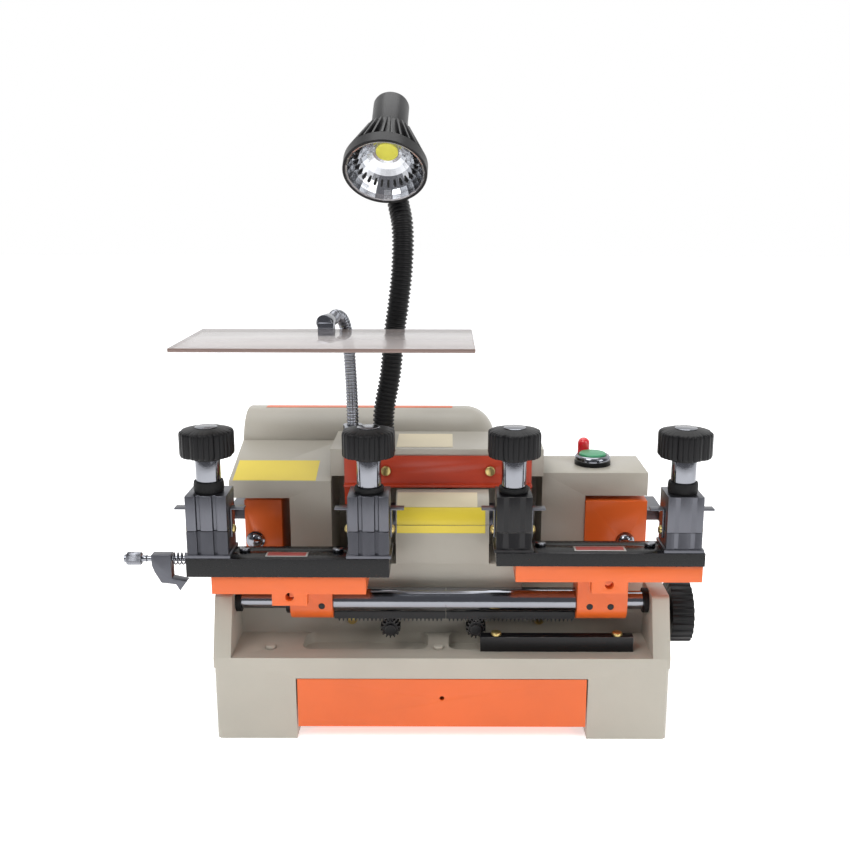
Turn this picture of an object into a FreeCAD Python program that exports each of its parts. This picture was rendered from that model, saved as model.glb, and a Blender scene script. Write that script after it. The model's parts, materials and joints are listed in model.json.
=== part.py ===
import FreeCAD, Part
import math
import os
import re
import Sketcher
from FreeCAD import Placement, Rotation, Vector

# Driving dimensions in millimetres, degrees or counts.
# X runs along the rail to the operator's right, Y runs away from the operator and Z is up.
# The origin is the middle of the footprint, on the bench.
DIMENSIONS = {
    # Fits
    "running_clearance": 0.05,
    "seat_clearance": 0.02,
    "air_gap": 0.3,
    # Base casting
    "base_width": 342,
    "base_depth": 300,
    "ledge_height": 66,
    "ledge_depth": 47,
    "deck_height": 100,
    "deck_inset": 6,
    "base_wall": 8,
    "base_corner": 4,
    "leg_width": 61,
    "bay_height": 49.5,
    "cheek_thickness": 13,
    "cheek_height": 110,
    "cheek_length": 66,
    "cheek_slope": 15,
    "pocket_floor": 57,
    "pocket_front": 16,
    "pocket_corner": 8,
    "left_pocket_x": -107,
    "left_pocket_length": 96,
    "right_pocket_x": 5,
    "right_pocket_length": 95,
    "shaft_web_x": -62,
    "shaft_web": 10,
    "foot_boss_radius": 10,
    "foot_hole_radius": 3.4,
    "foot_hole_depth": 20,
    "foot_spacing_x": 283,
    "foot_spacing_y": 240,
    # Chip drawer
    "drawer_gap": 1,
    "drawer_bottom": 10,
    "drawer_front_height": 39,
    "drawer_front_thickness": 3,
    "drawer_rear_gap": 30,
    "drawer_box_width": 196,
    "drawer_box_height": 30,
    "drawer_wall": 1.5,
    "drawer_runner_height": 26,
    "drawer_pull_radius": 1.8,
    # Rail, sleeves and racks
    "rail_setback": 32,
    "rail_height": 100,
    "rail_radius": 7,
    "rail_socket": 6,
    "seal_radius": 9.5,
    "seal_thickness": 4,
    "sleeve_radius": 9.5,
    "sleeve_flat": 8.5,
    "left_sleeve_x": -83,
    "left_sleeve_length": 85.7,
    "right_sleeve_x": 3,
    "right_sleeve_length": 99,
    "rack_width": 8,
    "gear_module": 1,
    "pinion_teeth": 14,
    "pinion_drop": 22.5,
    "pinion_face": 9,
    "pinion_shaft_radius": 4,
    "left_pinion_x": -40,
    "right_pinion_x": 26,
    # Feed cross shaft and handwheel
    "cross_setback": 65,
    "cross_radius": 3,
    "bevel_face": 3,
    "handwheel_radius": 24.6,
    "handwheel_width": 17,
    "handwheel_hub_radius": 12,
    "handwheel_hub_length": 10,
    "handwheel_notches": 24,
    "handwheel_notch_radius": 2.2,
    # Spindle
    "spindle_setback": 66,
    "spindle_height": 156,
    "spindle_radius": 6,
    "drum_radius": 22,
    "drum_length": 72,
    "drum_bore": 15.5,
    "pedestal_width": 124,
    "pedestal_depth": 46,
    "pedestal_height": 25,
    "bearing_width": 9,
    "belt_slot_width": 26,
    "pulley_width": 16,
    "pulley_radius": 10,
    "pulley_flange": 12.5,
    "belt_width": 10,
    "belt_thickness": 2,
    "cutter_radius": 22,
    "cutter_thickness": 8,
    "cutter_teeth": 48,
    "cutter_tooth_depth": 1.6,
    "cutter_nut_radius": 9,
    "cutter_nut_length": 14,
    # Motor
    "motor_y": 66,
    "motor_height": 156,
    "motor_radius": 44,
    "motor_length": 128,
    "motor_gap": 18,
    "motor_foot_width": 70,
    "motor_shaft_radius": 6,
    "motor_pulley_radius": 22,
    "motor_pulley_flange": 24.5,
    # Head housing
    "head_front": 75,
    "head_wall": 4,
    "left_hood_x": -170,
    "left_hood_width": 81,
    "left_leg_width": 33,
    "left_hood_front_height": 182,
    "left_hood_rear_height": 200,
    "hood_overhang": 168,
    "right_hood_x": 80,
    "right_hood_width": 85,
    "right_leg_width": 35,
    "right_hood_height": 187,
    "right_hood_inset": 9,
    "shelf_height": 208,
    "shelf_thickness": 5,
    # Motor cover
    "cover_front": -11,
    "cover_width": 215,
    "cover_height": 222,
    "cover_wall": 3,
    "cover_crown": 43,
    "cover_fall": 30,
    "cover_crown_round": 90,
    "cover_front_round": 30,
    "cover_side_round": 26,
    "cover_rear_round": 14,
    # Cutter guard and tracer brackets
    "guard_left": -78,
    "guard_length": 148.5,
    "guard_bottom": 179,
    "guard_height": 24,
    "guard_thickness": 2,
    "guard_lip": 7,
    "guard_flap": 16,
    "left_bracket_x": -160,
    "left_bracket_width": 42,
    "right_bracket_x": 115,
    "right_bracket_width": 50,
    "bracket_front": 67,
    "bracket_depth": 40,
    "bracket_top": 164,
    "bracket_foot_reach": 30,
    "bracket_foot_height": 12,
    "tracer_height": 8,
    "tracer_thickness": 4,
    # Carriages
    "clamp_radius": 14,
    "left_clamp_length": 32,
    "right_clamp_length": 38,
    "arm_front": 150,
    "arm_rear": 112,
    "left_arm_x": -169.5,
    "left_arm_length": 113.5,
    "left_arm_bottom": 117,
    "left_table_x": -187,
    "left_table_length": 148.3,
    "left_table_bottom": 131,
    "right_arm_x": 54,
    "right_arm_length": 137,
    "right_arm_bottom": 127,
    "right_table_x": 39.5,
    "right_table_length": 152.2,
    "right_table_bottom": 140,
    "table_front": 152,
    "table_width": 28,
    "left_table_top": 145,
    "right_table_top": 150,
    "left_tab_x": -112.5,
    "right_tab_x": 123,
    "tab_width": 26,
    "tab_drop": 9,
    "tab_thickness": 8,
    "tab_hole_radius": 3.3,
    # Vises
    "vise_one_x": -171,
    "vise_two_x": -53.6,
    "vise_three_x": 52.3,
    "vise_four_x": 176.2,
    "wide_jaw": 30,
    "narrow_jaw": 26,
    "jaw_front": 150,
    "jaw_depth": 28,
    "jaw_ledge_height": 2.5,
    "jaw_ledge_reach": 1.5,
    "jaw_parting": 165,
    "jaw_top": 192,
    "jaw_groove_width": 3,
    "jaw_groove_depth": 2.5,
    "jaw_groove_offset": 6,
    "stud_radius": 5,
    "post_radius": 9,
    "post_top": 216.5,
    "knob_radius": 20,
    "knob_height": 24.5,
    "knob_lobes": 8,
    "knob_notch_radius": 4,
    "knob_notch_inset": 2.2,
    "knob_crown": 4,
    "finger_pivot_height": 163,
    "finger_pivot_radius": 1.5,
    "finger_width": 8,
    "finger_thickness": 1.2,
    "finger_height": 22,
    "finger_foot": 5,
    "finger_tab": 9,
    # Width gauge on the left table
    "gauge_block_x": -214.5,
    "gauge_block_length": 14.5,
    "gauge_block_width": 8,
    "gauge_block_height": 8,
    "gauge_height": 141,
    "gauge_setback": 12,
    "gauge_rod_radius": 2,
    "gauge_knob_radius": 4.8,
    "gauge_knob_length": 17,
    "gauge_knob_x": -235.5,
    "gauge_hook_drop": 25,
    "gauge_hook_width": 8,
    "gauge_hook_thickness": 5,
    "gauge_hook_reach": 11,
    "gauge_spring_turns": 4,
    "gauge_spring_radius": 4.2,
    "gauge_spring_wire": 0.5,
    # Push button and indicator
    "button_x": 124,
    "button_y": -36.5,
    "button_bezel_radius": 14.8,
    "button_bezel_height": 5,
    "button_ring_height": 3,
    "button_cap_radius": 11,
    "button_cap_proud": 1.5,
    "button_travel": 4,
    "button_body_depth": 19,
    "button_body_radius": 11,
    "lamp_dot_x": 119,
    "lamp_dot_y": -16.8,
    "lamp_dot_radius": 5,
    "lamp_dot_height": 17.5,
    # Work lamp
    "hose_x": -49,
    "hose_y": -30,
    "hose_radius": 8.8,
    "hose_bore": 5.5,
    "hose_rib_depth": 1.1,
    "hose_rib_pitch": 3.4,
    "lamp_ring_radius": 32.5,
    "lamp_ring_height": 10,
    "lamp_body_radius": 14.2,
    "lamp_body_length": 76,
    "lamp_tilt": 45,
    "lamp_yaw": 3,
    "lamp_wall": 2.5,
    # Chip shield
    "shield_width": 215,
    "shield_depth": 106,
    "shield_thickness": 3,
    "shield_left": -192,
    "shield_front": 150,
    "shield_rise": 90,
    "shield_clip_gap": 2,
    "neck_x": -74,
    "neck_y": -38,
    "neck_radius": 5,
    "neck_rib_depth": 0.5,
    "neck_rib_pitch": 2.9,
    "neck_bore": 2.5,
    "ferrule_radius": 8,
    "ferrule_height": 12,
    "shield_clip_radius": 12,
    # Tool bar and power inlet
    "tool_bar_x": 29,
    "tool_bar_length": 116,
    "tool_bar_setback": 12,
    "tool_bar_width": 8,
    "tool_bar_height": 12,
    "inlet_x": 120,
    "inlet_z": 80,
    "inlet_width": 27,
    "inlet_height": 20,
    "inlet_flange_width": 48,
    "inlet_flange_height": 28,
    "inlet_flange_thickness": 3,
    "inlet_body_depth": 24,
    "inlet_socket_depth": 16,
    # Fasteners
    "screw_head_radius": 4,
    "screw_head_height": 2.6,
    "screw_shank_radius": 2,
    "screw_shank_length": 6,
    "set_screw_radius": 2.5,
    "set_screw_depth": 4,
}

doc = FreeCAD.newDocument("key_machine")
sheet = doc.addObject("Spreadsheet::Sheet", "dims")
for row, (alias, amount) in enumerate(DIMENSIONS.items(), start=1):
    sheet.set(f"A{row}", alias)
    sheet.set(f"B{row}", str(amount))
    sheet.setAlias(f"B{row}", alias)
doc.recompute()

WORD = re.compile(r"[a-z_]+")
NODES = {}


class Sizes:
    """Reads a driving dimension from the sheet by its name."""

    def __getattr__(self, alias):
        return float(sheet.get(alias))


size = Sizes()


def bound(text):
    """Point each dimension that an expression names at its cell in the sheet."""
    return WORD.sub(lambda word: f"dims.{word[0]}" if word[0] in DIMENSIONS else word[0], text)


def number(text):
    """The present value of an expression."""
    return float(sheet.evalExpression(bound(text)))


def keep(item):
    """Register a finished sub-part, whose label names its file."""
    NODES[item.Label] = item
    return item


def block(name, x, y, z):
    """A box between two expressions along each axis."""
    item = doc.addObject("Part::Box", name)
    for side, axis, (low, high) in (("Length", "x", x), ("Width", "y", y), ("Height", "z", z)):
        item.setExpression(f"Placement.Base.{axis}", bound(low))
        item.setExpression(side, bound(f"({high}) - ({low})"))
    return item


TURNS = {
    "x": Rotation(Vector(0, 1, 0), 90),
    "y": Rotation(Vector(1, 0, 0), -90),
    "z": Rotation(),
}


def rod(name, axis, centre, radius, span):
    """A round bar along one axis; centre gives the two other coordinates in x, y, z order."""
    item = doc.addObject("Part::Cylinder", name)
    item.Placement = Placement(Vector(), TURNS[axis])
    others = [letter for letter in "xyz" if letter != axis]
    for letter, text in zip(others, centre):
        item.setExpression(f"Placement.Base.{letter}", bound(text))
    item.setExpression(f"Placement.Base.{axis}", bound(span[0]))
    item.setExpression("Radius", bound(radius))
    item.setExpression("Height", bound(f"({span[1]}) - ({span[0]})"))
    return item


def fuse(name, *items):
    """One solid from several that share material."""
    item = doc.addObject("Part::MultiFuse", name)
    item.Shapes = list(items)
    item.Refine = True
    return item


def cut(name, base, *tools):
    """What is left of a base when the tools are taken out of it."""
    item = doc.addObject("Part::Cut", name)
    item.Base = base
    item.Tool = tools[0] if len(tools) == 1 else fuse(f"{name}_removed", *tools)
    item.Refine = True
    return item


def group(name, *items):
    """Separate solids that are kept as one sub-part."""
    item = doc.addObject("Part::Compound", name)
    item.Links = list(items)
    return item


def tube(name, axis, centre, outer, inner, span):
    """A ring or sleeve along one axis."""
    return cut(
        name,
        rod(f"{name}_outside", axis, centre, outer, span),
        rod(f"{name}_bore", axis, centre, inner, span),
    )


def free_form(name, shape):
    """A sub-part whose shape is worked out from the sheet by its own function."""
    item = doc.addObject("Part::Feature", name)
    item.Shape = shape
    return item


def sketch_on(body, plane, height):
    """A sketch on one of a body's origin planes, lifted along the plane's normal."""
    sketch = body.newObject("Sketcher::SketchObject", f"{body.Name}_sketch")
    support = [feature for feature in body.Origin.OriginFeatures if feature.Role == f"{plane}_Plane"]
    sketch.AttachmentSupport = (support[0], [""])
    sketch.MapMode = "FlatFace"
    sketch.setExpression("AttachmentOffset.Base.z", bound(height))
    return sketch


def pad_between(body, sketch, length):
    """Extrude a sketch along its normal."""
    pad = body.newObject("PartDesign::Pad", f"{body.Name}_pad")
    pad.Profile = sketch
    pad.setExpression("Length", bound(length))
    return pad


def place_corner(sketch, line, across, up):
    """Tie the first point of a sketch line to two expressions."""
    for kind, text in (("DistanceX", across), ("DistanceY", up)):
        index = sketch.addConstraint(Sketcher.Constraint(kind, -1, 1, line, 1, number(text)))
        sketch.setExpression(f"Constraints[{index}]", bound(text))


def prism(name, plane, outline, span):
    """A body padded from a straight-sided outline between two places along the plane's normal.

    The outline lists its corners as pairs of expressions. On the XZ plane the normal points
    towards the operator, so the span still runs from the lower Y to the higher Y.
    """
    body = doc.addObject("PartDesign::Body", name)
    low, high = span
    sketch = sketch_on(body, plane, f"-({high})" if plane == "XZ" else low)
    corners = [Vector(number(across), number(up), 0) for across, up in outline]
    for start, end in zip(corners, corners[1:] + corners[:1]):
        sketch.addGeometry(Part.LineSegment(start, end), False)
    for line in range(len(corners)):
        following = (line + 1) % len(corners)
        sketch.addConstraint(Sketcher.Constraint("Coincident", line, 2, following, 1))
    for line, (across, up) in enumerate(outline):
        place_corner(sketch, line, across, up)
    pad_between(body, sketch, f"({high}) - ({low})")
    doc.recompute()
    return body


def round_edges(body, radius, chosen):
    """Round the edges of a body that a test on the edge picks out."""
    base = body.Tip
    edges = [f"Edge{count}" for count, edge in enumerate(base.Shape.Edges, start=1) if chosen(edge)]
    fillet = body.newObject("PartDesign::Fillet", f"{body.Name}_round")
    fillet.Base = (base, edges)
    fillet.setExpression("Radius", bound(radius))
    doc.recompute()
    return body


def runs_along(edge, axis):
    """Whether an edge is a straight line along the named axis."""
    extent = {"x": edge.BoundBox.XLength, "y": edge.BoundBox.YLength, "z": edge.BoundBox.ZLength}
    others = [length for letter, length in extent.items() if letter != axis]
    return extent[axis] > 0.01 and max(others) < 0.001


def notched_disc(name, plane, centre, radius, notch_radius, notch_ring, notches, span):
    """A disc with round notches spaced evenly about its rim, as on a grip knob."""
    body = doc.addObject("PartDesign::Body", name)
    low, high = span
    sketch = sketch_on(body, plane, low)
    middle = Vector(number(centre[0]), number(centre[1]), 0)
    sketch.addGeometry(Part.Circle(middle, Vector(0, 0, 1), 1), False)
    for kind, text in (("DistanceX", centre[0]), ("DistanceY", centre[1])):
        index = sketch.addConstraint(Sketcher.Constraint(kind, -1, 1, 0, 3, number(text)))
        sketch.setExpression(f"Constraints[{index}]", bound(text))
    index = sketch.addConstraint(Sketcher.Constraint("Radius", 0, number(radius)))
    sketch.setExpression(f"Constraints[{index}]", bound(radius))
    pad_between(body, sketch, f"({high}) - ({low})")
    doc.recompute()
    axis = {"XY": "z", "YZ": "x"}[plane]
    tools = []
    for notch in range(int(number(notches))):
        angle = f"(360 / {notches} * {notch})"
        place = (
            f"{centre[0]} + ({notch_ring}) * cos({angle})",
            f"{centre[1]} + ({notch_ring}) * sin({angle})",
        )
        tools.append(rod(f"{name}_notch", axis, place, notch_radius, span))
    return body, tools


# Places that several sub-parts share
FRONT = "(-base_depth / 2)"
REAR = "(base_depth / 2)"
SIDE = "(base_width / 2)"
CHEEK_INNER = "(base_width / 2 - cheek_thickness)"
DECK_FRONT = "(ledge_depth - base_depth / 2)"
DECK_SIDE = "(base_width / 2 - deck_inset)"
BAY_SIDE = "(base_width / 2 - leg_width)"
RAIL = ("(rail_setback - base_depth / 2)", "rail_height")
PINION_HEIGHT = "(rail_height - pinion_drop)"
CROSS = ("(cross_setback - base_depth / 2)", PINION_HEIGHT)
SPINDLE = ("(spindle_setback - base_depth / 2)", "spindle_height")
MOTOR = ("motor_y", "motor_height")
HEAD_FRONT = "(-head_front)"
COVER_RIGHT = "(left_hood_x + cover_width)"
MARGIN = "1"
TOUCH = 0.01


def mirrored(name, maker):
    """The same piece on the left and on the right, as two objects."""
    return [maker(f"{name}_{side}", sign) for side, sign in (("left", "-1"), ("right", "1"))]


def ordered(sign, near, far):
    """A span from the nearer to the farther place on the signed side of the middle."""
    if sign == "1":
        return (near, far)
    return (f"-({far})", f"-({near})")


# Base casting, its bay for the drawer and its bosses


def cheek(name, sign):
    """One raised side wall that carries an end of the rail."""
    outline = [
        (FRONT, "ledge_height - base_wall"),
        (FRONT, "ledge_height"),
        (f"{FRONT} + cheek_slope", "cheek_height"),
        (f"{FRONT} + cheek_length - cheek_slope", "cheek_height"),
        (f"{FRONT} + cheek_length", "ledge_height - base_wall"),
    ]
    body = prism(name, "YZ", outline, ordered(sign, CHEEK_INNER, SIDE))
    top = number("cheek_height") - 0.01
    return round_edges(body, "base_corner", lambda edge: runs_along(edge, "x") and edge.BoundBox.ZMin > top)


def pocket(name, start, length):
    """A shallow chip pocket with rounded corners in the front ledge."""
    low = f"{FRONT} + pocket_front"
    outline = [
        (start, low),
        (f"{start} + {length}", low),
        (f"{start} + {length}", DECK_FRONT),
        (start, DECK_FRONT),
    ]
    body = prism(name, "XY", outline, ("pocket_floor", f"ledge_height + {MARGIN}"))
    return round_edges(body, "pocket_corner", lambda edge: runs_along(edge, "z"))


def foot_places():
    """The four bench bolt places under the legs."""
    return [(f"{x} * foot_spacing_x / 2", f"{y} * foot_spacing_y / 2") for x in (-1, 1) for y in (-1, 1)]


def make_base():
    """The painted casting that everything stands on."""
    plinth = prism(
        "base_plinth",
        "XY",
        [(f"-{SIDE}", FRONT), (SIDE, FRONT), (SIDE, REAR), (f"-{SIDE}", REAR)],
        ("0", "ledge_height"),
    )
    round_edges(plinth, "base_corner", lambda edge: runs_along(edge, "z"))
    deck = block(
        "base_deck",
        (f"-{DECK_SIDE}", DECK_SIDE),
        (DECK_FRONT, REAR),
        ("ledge_height - base_wall", "deck_height"),
    )
    solid = fuse("base_solid", plinth, deck, *mirrored("cheek", cheek))
    inner_side = f"({DECK_SIDE} - base_wall)"
    inner_depth = (f"{DECK_FRONT} + base_wall", f"{REAR} - base_wall")
    inner_height = ("bay_height - 1", "deck_height - base_wall")
    hollow = [
        block(
            "drawer_bay",
            (f"-{BAY_SIDE}", BAY_SIDE),
            (f"{FRONT} - {MARGIN}", f"{REAR} - base_wall"),
            (f"-{MARGIN}", "bay_height"),
        ),
        block("shaft_space_left", (f"-{inner_side}", "shaft_web_x"), inner_depth, inner_height),
        block("shaft_space_right", ("shaft_web_x + shaft_web", inner_side), inner_depth, inner_height),
        pocket("pocket_left", "left_pocket_x", "left_pocket_length"),
        pocket("pocket_right", "right_pocket_x", "right_pocket_length"),
    ]
    hollow += mirrored("leg_space", leg_space)
    runners = mirrored("runner", runner)
    bosses = [
        rod("foot_boss", "z", (x, y), "foot_boss_radius", ("0", top))
        for (x, y), top in zip(foot_places(), 2 * ("ledge_height - base_wall", "deck_height - base_wall"))
    ]
    shell = fuse("base_shell", cut("base_hollow", solid, *hollow), *runners, *bosses)
    cheek_bore = f"({CHEEK_INNER} + rail_socket)"
    bores = [
        rod("rail_bore", "x", RAIL, "rail_radius + seat_clearance", (f"-{cheek_bore}", cheek_bore)),
        rod(
            "cross_bore",
            "x",
            CROSS,
            "cross_radius + running_clearance",
            ("shaft_web_x + shaft_web / 4", f"{SIDE} + {MARGIN}"),
        ),
        block(
            "inlet_opening",
            (
                "inlet_x - inlet_width / 2 - running_clearance",
                "inlet_x + inlet_width / 2 + running_clearance",
            ),
            (f"{REAR} - 2 * base_wall", f"{REAR} + {MARGIN}"),
            (
                "inlet_z - inlet_height / 2 - running_clearance",
                "inlet_z + inlet_height / 2 + running_clearance",
            ),
        ),
    ]
    for place in ("left_pinion_x", "right_pinion_x"):
        bores.append(
            rod(
                "pinion_bore",
                "y",
                (place, PINION_HEIGHT),
                "pinion_shaft_radius + running_clearance",
                (f"{DECK_FRONT} - {MARGIN}", f"{DECK_FRONT} + base_wall + {MARGIN}"),
            )
        )
    for place in foot_places():
        bores.append(rod("foot_hole", "z", place, "foot_hole_radius", (f"-{MARGIN}", "foot_hole_depth")))
    bores += fastener_holes()
    return keep(cut("base_casting", shell, *bores))


def leg_space(name, sign):
    """The open space inside one leg, seen from below."""
    side = f"({SIDE} - base_wall)"
    return block(
        name,
        ordered(sign, f"{BAY_SIDE} + base_wall", side),
        (f"{FRONT} + base_wall", f"{REAR} - base_wall"),
        (f"-{MARGIN}", "ledge_height - 2 * base_wall"),
    )


def runner(name, sign):
    """A rail on the inner side of one leg that the drawer's flange slides on."""
    return block(
        name,
        ordered(sign, "drawer_box_width / 2 + drawer_gap", BAY_SIDE),
        (f"{FRONT} + base_wall", f"{REAR} - base_wall"),
        ("drawer_runner_height - base_wall / 2", "drawer_runner_height"),
    )


# Screws of the fixed frame: axis, the two other coordinates, the seat and the head's direction

SHELF_FRONT = f"({HEAD_FRONT} + guard_thickness)"
BAR_FRONT = f"({FRONT} + tool_bar_setback)"
BAR_Y = f"({BAR_FRONT} + tool_bar_width / 2)"
BAR_TOP = "(ledge_height + tool_bar_height)"
LEDGE_SCREW_Y = f"({FRONT} + pocket_front / 2 + foot_boss_radius)"
GUARD_SCREW_Z = "(guard_bottom + guard_height / 2)"
BRACKET_SCREW_Z = "(deck_height + bracket_foot_reach)"

BASE_SCREWS = [
    ("y", ("left_pocket_x + left_pocket_length * 3 / 8", PINION_HEIGHT), DECK_FRONT, -1),
    ("y", ("right_pocket_x + right_pocket_length * 3 / 4", PINION_HEIGHT), DECK_FRONT, -1),
    ("z", ("left_pocket_x - pocket_corner * 3", LEDGE_SCREW_Y), "ledge_height", 1),
    ("z", ("(left_pocket_x + left_pocket_length + right_pocket_x) / 2", LEDGE_SCREW_Y), "ledge_height", 1),
]
BAR_SCREWS = [
    ("z", ("tool_bar_x + tool_bar_height", BAR_Y), BAR_TOP, 1),
    ("z", ("tool_bar_x + tool_bar_length - tool_bar_height", BAR_Y), BAR_TOP, 1),
]
GUARD_SCREWS = [
    ("y", ("guard_left + guard_length * 2 / 9", GUARD_SCREW_Z), HEAD_FRONT, -1),
    ("y", ("guard_left + guard_length * 7 / 9", GUARD_SCREW_Z), HEAD_FRONT, -1),
]
LEFT_BRACKET_SCREWS = [
    ("y", ("left_bracket_x + screw_head_radius * 2", BRACKET_SCREW_Z), "-bracket_front", -1)
]
RIGHT_BRACKET_SCREWS = [
    ("y", ("right_bracket_x + right_bracket_width * 2 / 3", BRACKET_SCREW_Z), "-bracket_front", -1)
]


def along(seat, sense, length):
    """A span from a screw's seat, in the head's direction or against it."""
    if (sense > 0) == (not length.startswith("-")):
        return (seat, f"{seat} + ({length.lstrip('-')})")
    return (f"{seat} - ({length.lstrip('-')})", seat)


def pan_screw(name, screw):
    """A pan head on its seat with the shank below it."""
    axis, centre, seat, sense = screw
    head = rod(f"{name}_head", axis, centre, "screw_head_radius", along(seat, sense, "screw_head_height"))
    depth = along(seat, sense, "-screw_shank_length")
    shank = rod(f"{name}_shank", axis, centre, "screw_shank_radius", depth)
    return fuse(name, head, shank)


def screw_hole(name, screw):
    """The hole that a screw's shank stands in."""
    axis, centre, seat, sense = screw
    low, high = along(seat, sense, "-screw_shank_length")
    radius = "screw_shank_radius + seat_clearance"
    return rod(name, axis, centre, radius, (f"{low} - {MARGIN}", f"{high} + {MARGIN}"))


def fastener_holes():
    """The screw holes in the base casting."""
    return [screw_hole("base_screw_hole", screw) for screw in BASE_SCREWS]


def make_fasteners():
    """Every pan head screw of the fixed frame, as one group."""
    screws = BASE_SCREWS + BAR_SCREWS + GUARD_SCREWS + LEFT_BRACKET_SCREWS + RIGHT_BRACKET_SCREWS
    return keep(group("body_fasteners", *[pan_screw("body_screw", screw) for screw in screws]))


# Chip drawer and tool bar


def make_drawer():
    """A sheet steel drawer that hangs on two runners by its flanges."""
    half_front = f"({BAY_SIDE} - drawer_gap)"
    half_box = "(drawer_box_width / 2)"
    box_back = f"({REAR} - drawer_rear_gap)"
    panel = block(
        "drawer_panel",
        (f"-{half_front}", half_front),
        (FRONT, f"{FRONT} + drawer_front_thickness"),
        ("drawer_bottom", "drawer_bottom + drawer_front_height"),
    )
    box = block(
        "drawer_box",
        (f"-{half_box}", half_box),
        (FRONT, box_back),
        ("drawer_bottom", "drawer_bottom + drawer_box_height"),
    )
    flange_half = f"({BAY_SIDE} - drawer_gap)"
    flange = block(
        "drawer_flange",
        (f"-{flange_half}", flange_half),
        (f"{FRONT} + base_wall", box_back),
        ("drawer_runner_height", "drawer_runner_height + drawer_wall"),
    )
    inside = block(
        "drawer_inside",
        (f"-{half_box} + drawer_wall", f"{half_box} - drawer_wall"),
        (f"{FRONT} + drawer_front_thickness", f"{box_back} - drawer_wall"),
        ("drawer_bottom + drawer_wall", "drawer_bottom + drawer_box_height + 1"),
    )
    pull_height = "drawer_bottom + drawer_front_height * 3 / 5"
    pull = rod(
        "drawer_pull_hole",
        "y",
        ("0", pull_height),
        "drawer_pull_radius",
        (f"{FRONT} - {MARGIN}", f"{FRONT} + drawer_front_thickness + {MARGIN}"),
    )
    return keep(cut("chip_drawer", fuse("drawer_solid", panel, box, flange), inside, pull))


def make_tool_bar():
    """The dark bar that lies on the front ledge."""
    bar = block(
        "tool_bar_solid",
        ("tool_bar_x", "tool_bar_x + tool_bar_length"),
        (BAR_FRONT, f"{BAR_FRONT} + tool_bar_width"),
        ("ledge_height", BAR_TOP),
    )
    return keep(cut("tool_bar", bar, *[screw_hole("bar_hole", screw) for screw in BAR_SCREWS]))


# Rail, its seals, the sleeves and the racks below them


def make_rail():
    """The ground shaft that both carriages slide and tilt on, with a seal at each end."""
    reach = f"({CHEEK_INNER} + rail_socket)"
    keep(rod("rail_shaft", "x", RAIL, "rail_radius", (f"-{reach}", reach)))
    seals = [
        tube(name, "x", RAIL, "seal_radius", "rail_radius + seat_clearance", span)
        for name, span in (
            ("left_seal", (f"-{CHEEK_INNER}", f"-{CHEEK_INNER} + seal_thickness")),
            ("right_seal", (f"{CHEEK_INNER} - seal_thickness", CHEEK_INNER)),
        )
    ]
    keep(group("rail_seals", *seals))


SLEEVES = (
    ("left", "left_sleeve_x", "left_sleeve_length", "left_pinion_x"),
    ("right", "right_sleeve_x", "right_sleeve_length", "right_pinion_x"),
)


def make_sleeves():
    """Two chromed sleeves on the rail, each flat below where its rack is fixed."""
    sleeves = []
    for side, start, length, _ in SLEEVES:
        span = (start, f"{start} + {length}")
        pipe = tube(f"{side}_pipe", "x", RAIL, "sleeve_radius", "rail_radius + running_clearance", span)
        flat = block(
            f"{side}_flat",
            (f"{start} - {MARGIN}", f"{start} + {length} + {MARGIN}"),
            (f"{RAIL[0]} - sleeve_radius", f"{RAIL[0]} + sleeve_radius"),
            ("rail_height - 2 * sleeve_radius", "rail_height - sleeve_flat"),
        )
        sleeves.append(cut(f"{side}_sleeve", pipe, flat))
    return keep(group("rack_sleeves", *sleeves))


TOOTH_ADDENDUM = 0.75
TOOTH_DEDENDUM = 1.25
BEVEL_ADDENDUM = 0.5
TOOTH_TIP_SHARE = 0.11
TOOTH_ROOT_SHARE = 0.26


def rack_shape(start, length, pinion_x):
    """A straight rack whose gap stands over the pinion when the feed is at rest."""
    module = size.gear_module
    pitch = math.pi * module
    top = size.rail_height - size.sleeve_flat
    pitch_line = size.rail_height - size.pinion_drop + module * size.pinion_teeth / 2
    tip = pitch_line - TOOTH_ADDENDUM * module
    root = pitch_line + TOOTH_DEDENDUM * module
    middle = pinion_x + pitch / 2
    first = math.ceil((start + pitch / 2 - middle) / pitch)
    last = math.floor((start + length - pitch / 2 - middle) / pitch)
    corners = [(start, top), (start, root)]
    for tooth in range(first, last + 1):
        centre = middle + tooth * pitch
        corners += [
            (centre - TOOTH_ROOT_SHARE * pitch, root),
            (centre - TOOTH_TIP_SHARE * pitch, tip),
            (centre + TOOTH_TIP_SHARE * pitch, tip),
            (centre + TOOTH_ROOT_SHARE * pitch, root),
        ]
    corners += [(start + length, root), (start + length, top)]
    front = size.rail_setback - size.base_depth / 2 - size.rack_width / 2
    points = [Vector(x, front, z) for x, z in corners]
    face = Part.Face(Part.makePolygon(points + points[:1]))
    return face.extrude(Vector(0, size.rack_width, 0))


def make_racks():
    """One rack under each sleeve."""
    racks = []
    for side, start, length, pinion in SLEEVES:
        shape = rack_shape(number(start), number(length), number(pinion))
        racks.append(free_form(f"{side}_rack", shape))
    return keep(group("racks", *racks))


# Pinions, bevel gears and the handwheel


def gear_points(teeth, tip_radius, root_radius, turn):
    """The outline of a straight-flanked gear about the origin, with a tooth at the turn angle."""
    step = 2 * math.pi / teeth
    points = []
    for tooth in range(int(teeth)):
        centre = turn + tooth * step
        for share, radius in (
            (-TOOTH_ROOT_SHARE, root_radius),
            (-TOOTH_TIP_SHARE, tip_radius),
            (TOOTH_TIP_SHARE, tip_radius),
            (TOOTH_ROOT_SHARE, root_radius),
        ):
            angle = centre + share * step
            points.append((radius * math.cos(angle), radius * math.sin(angle)))
    return points


def closed_wire(points):
    """A closed polygon through points."""
    return Part.makePolygon(points + points[:1])


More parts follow.
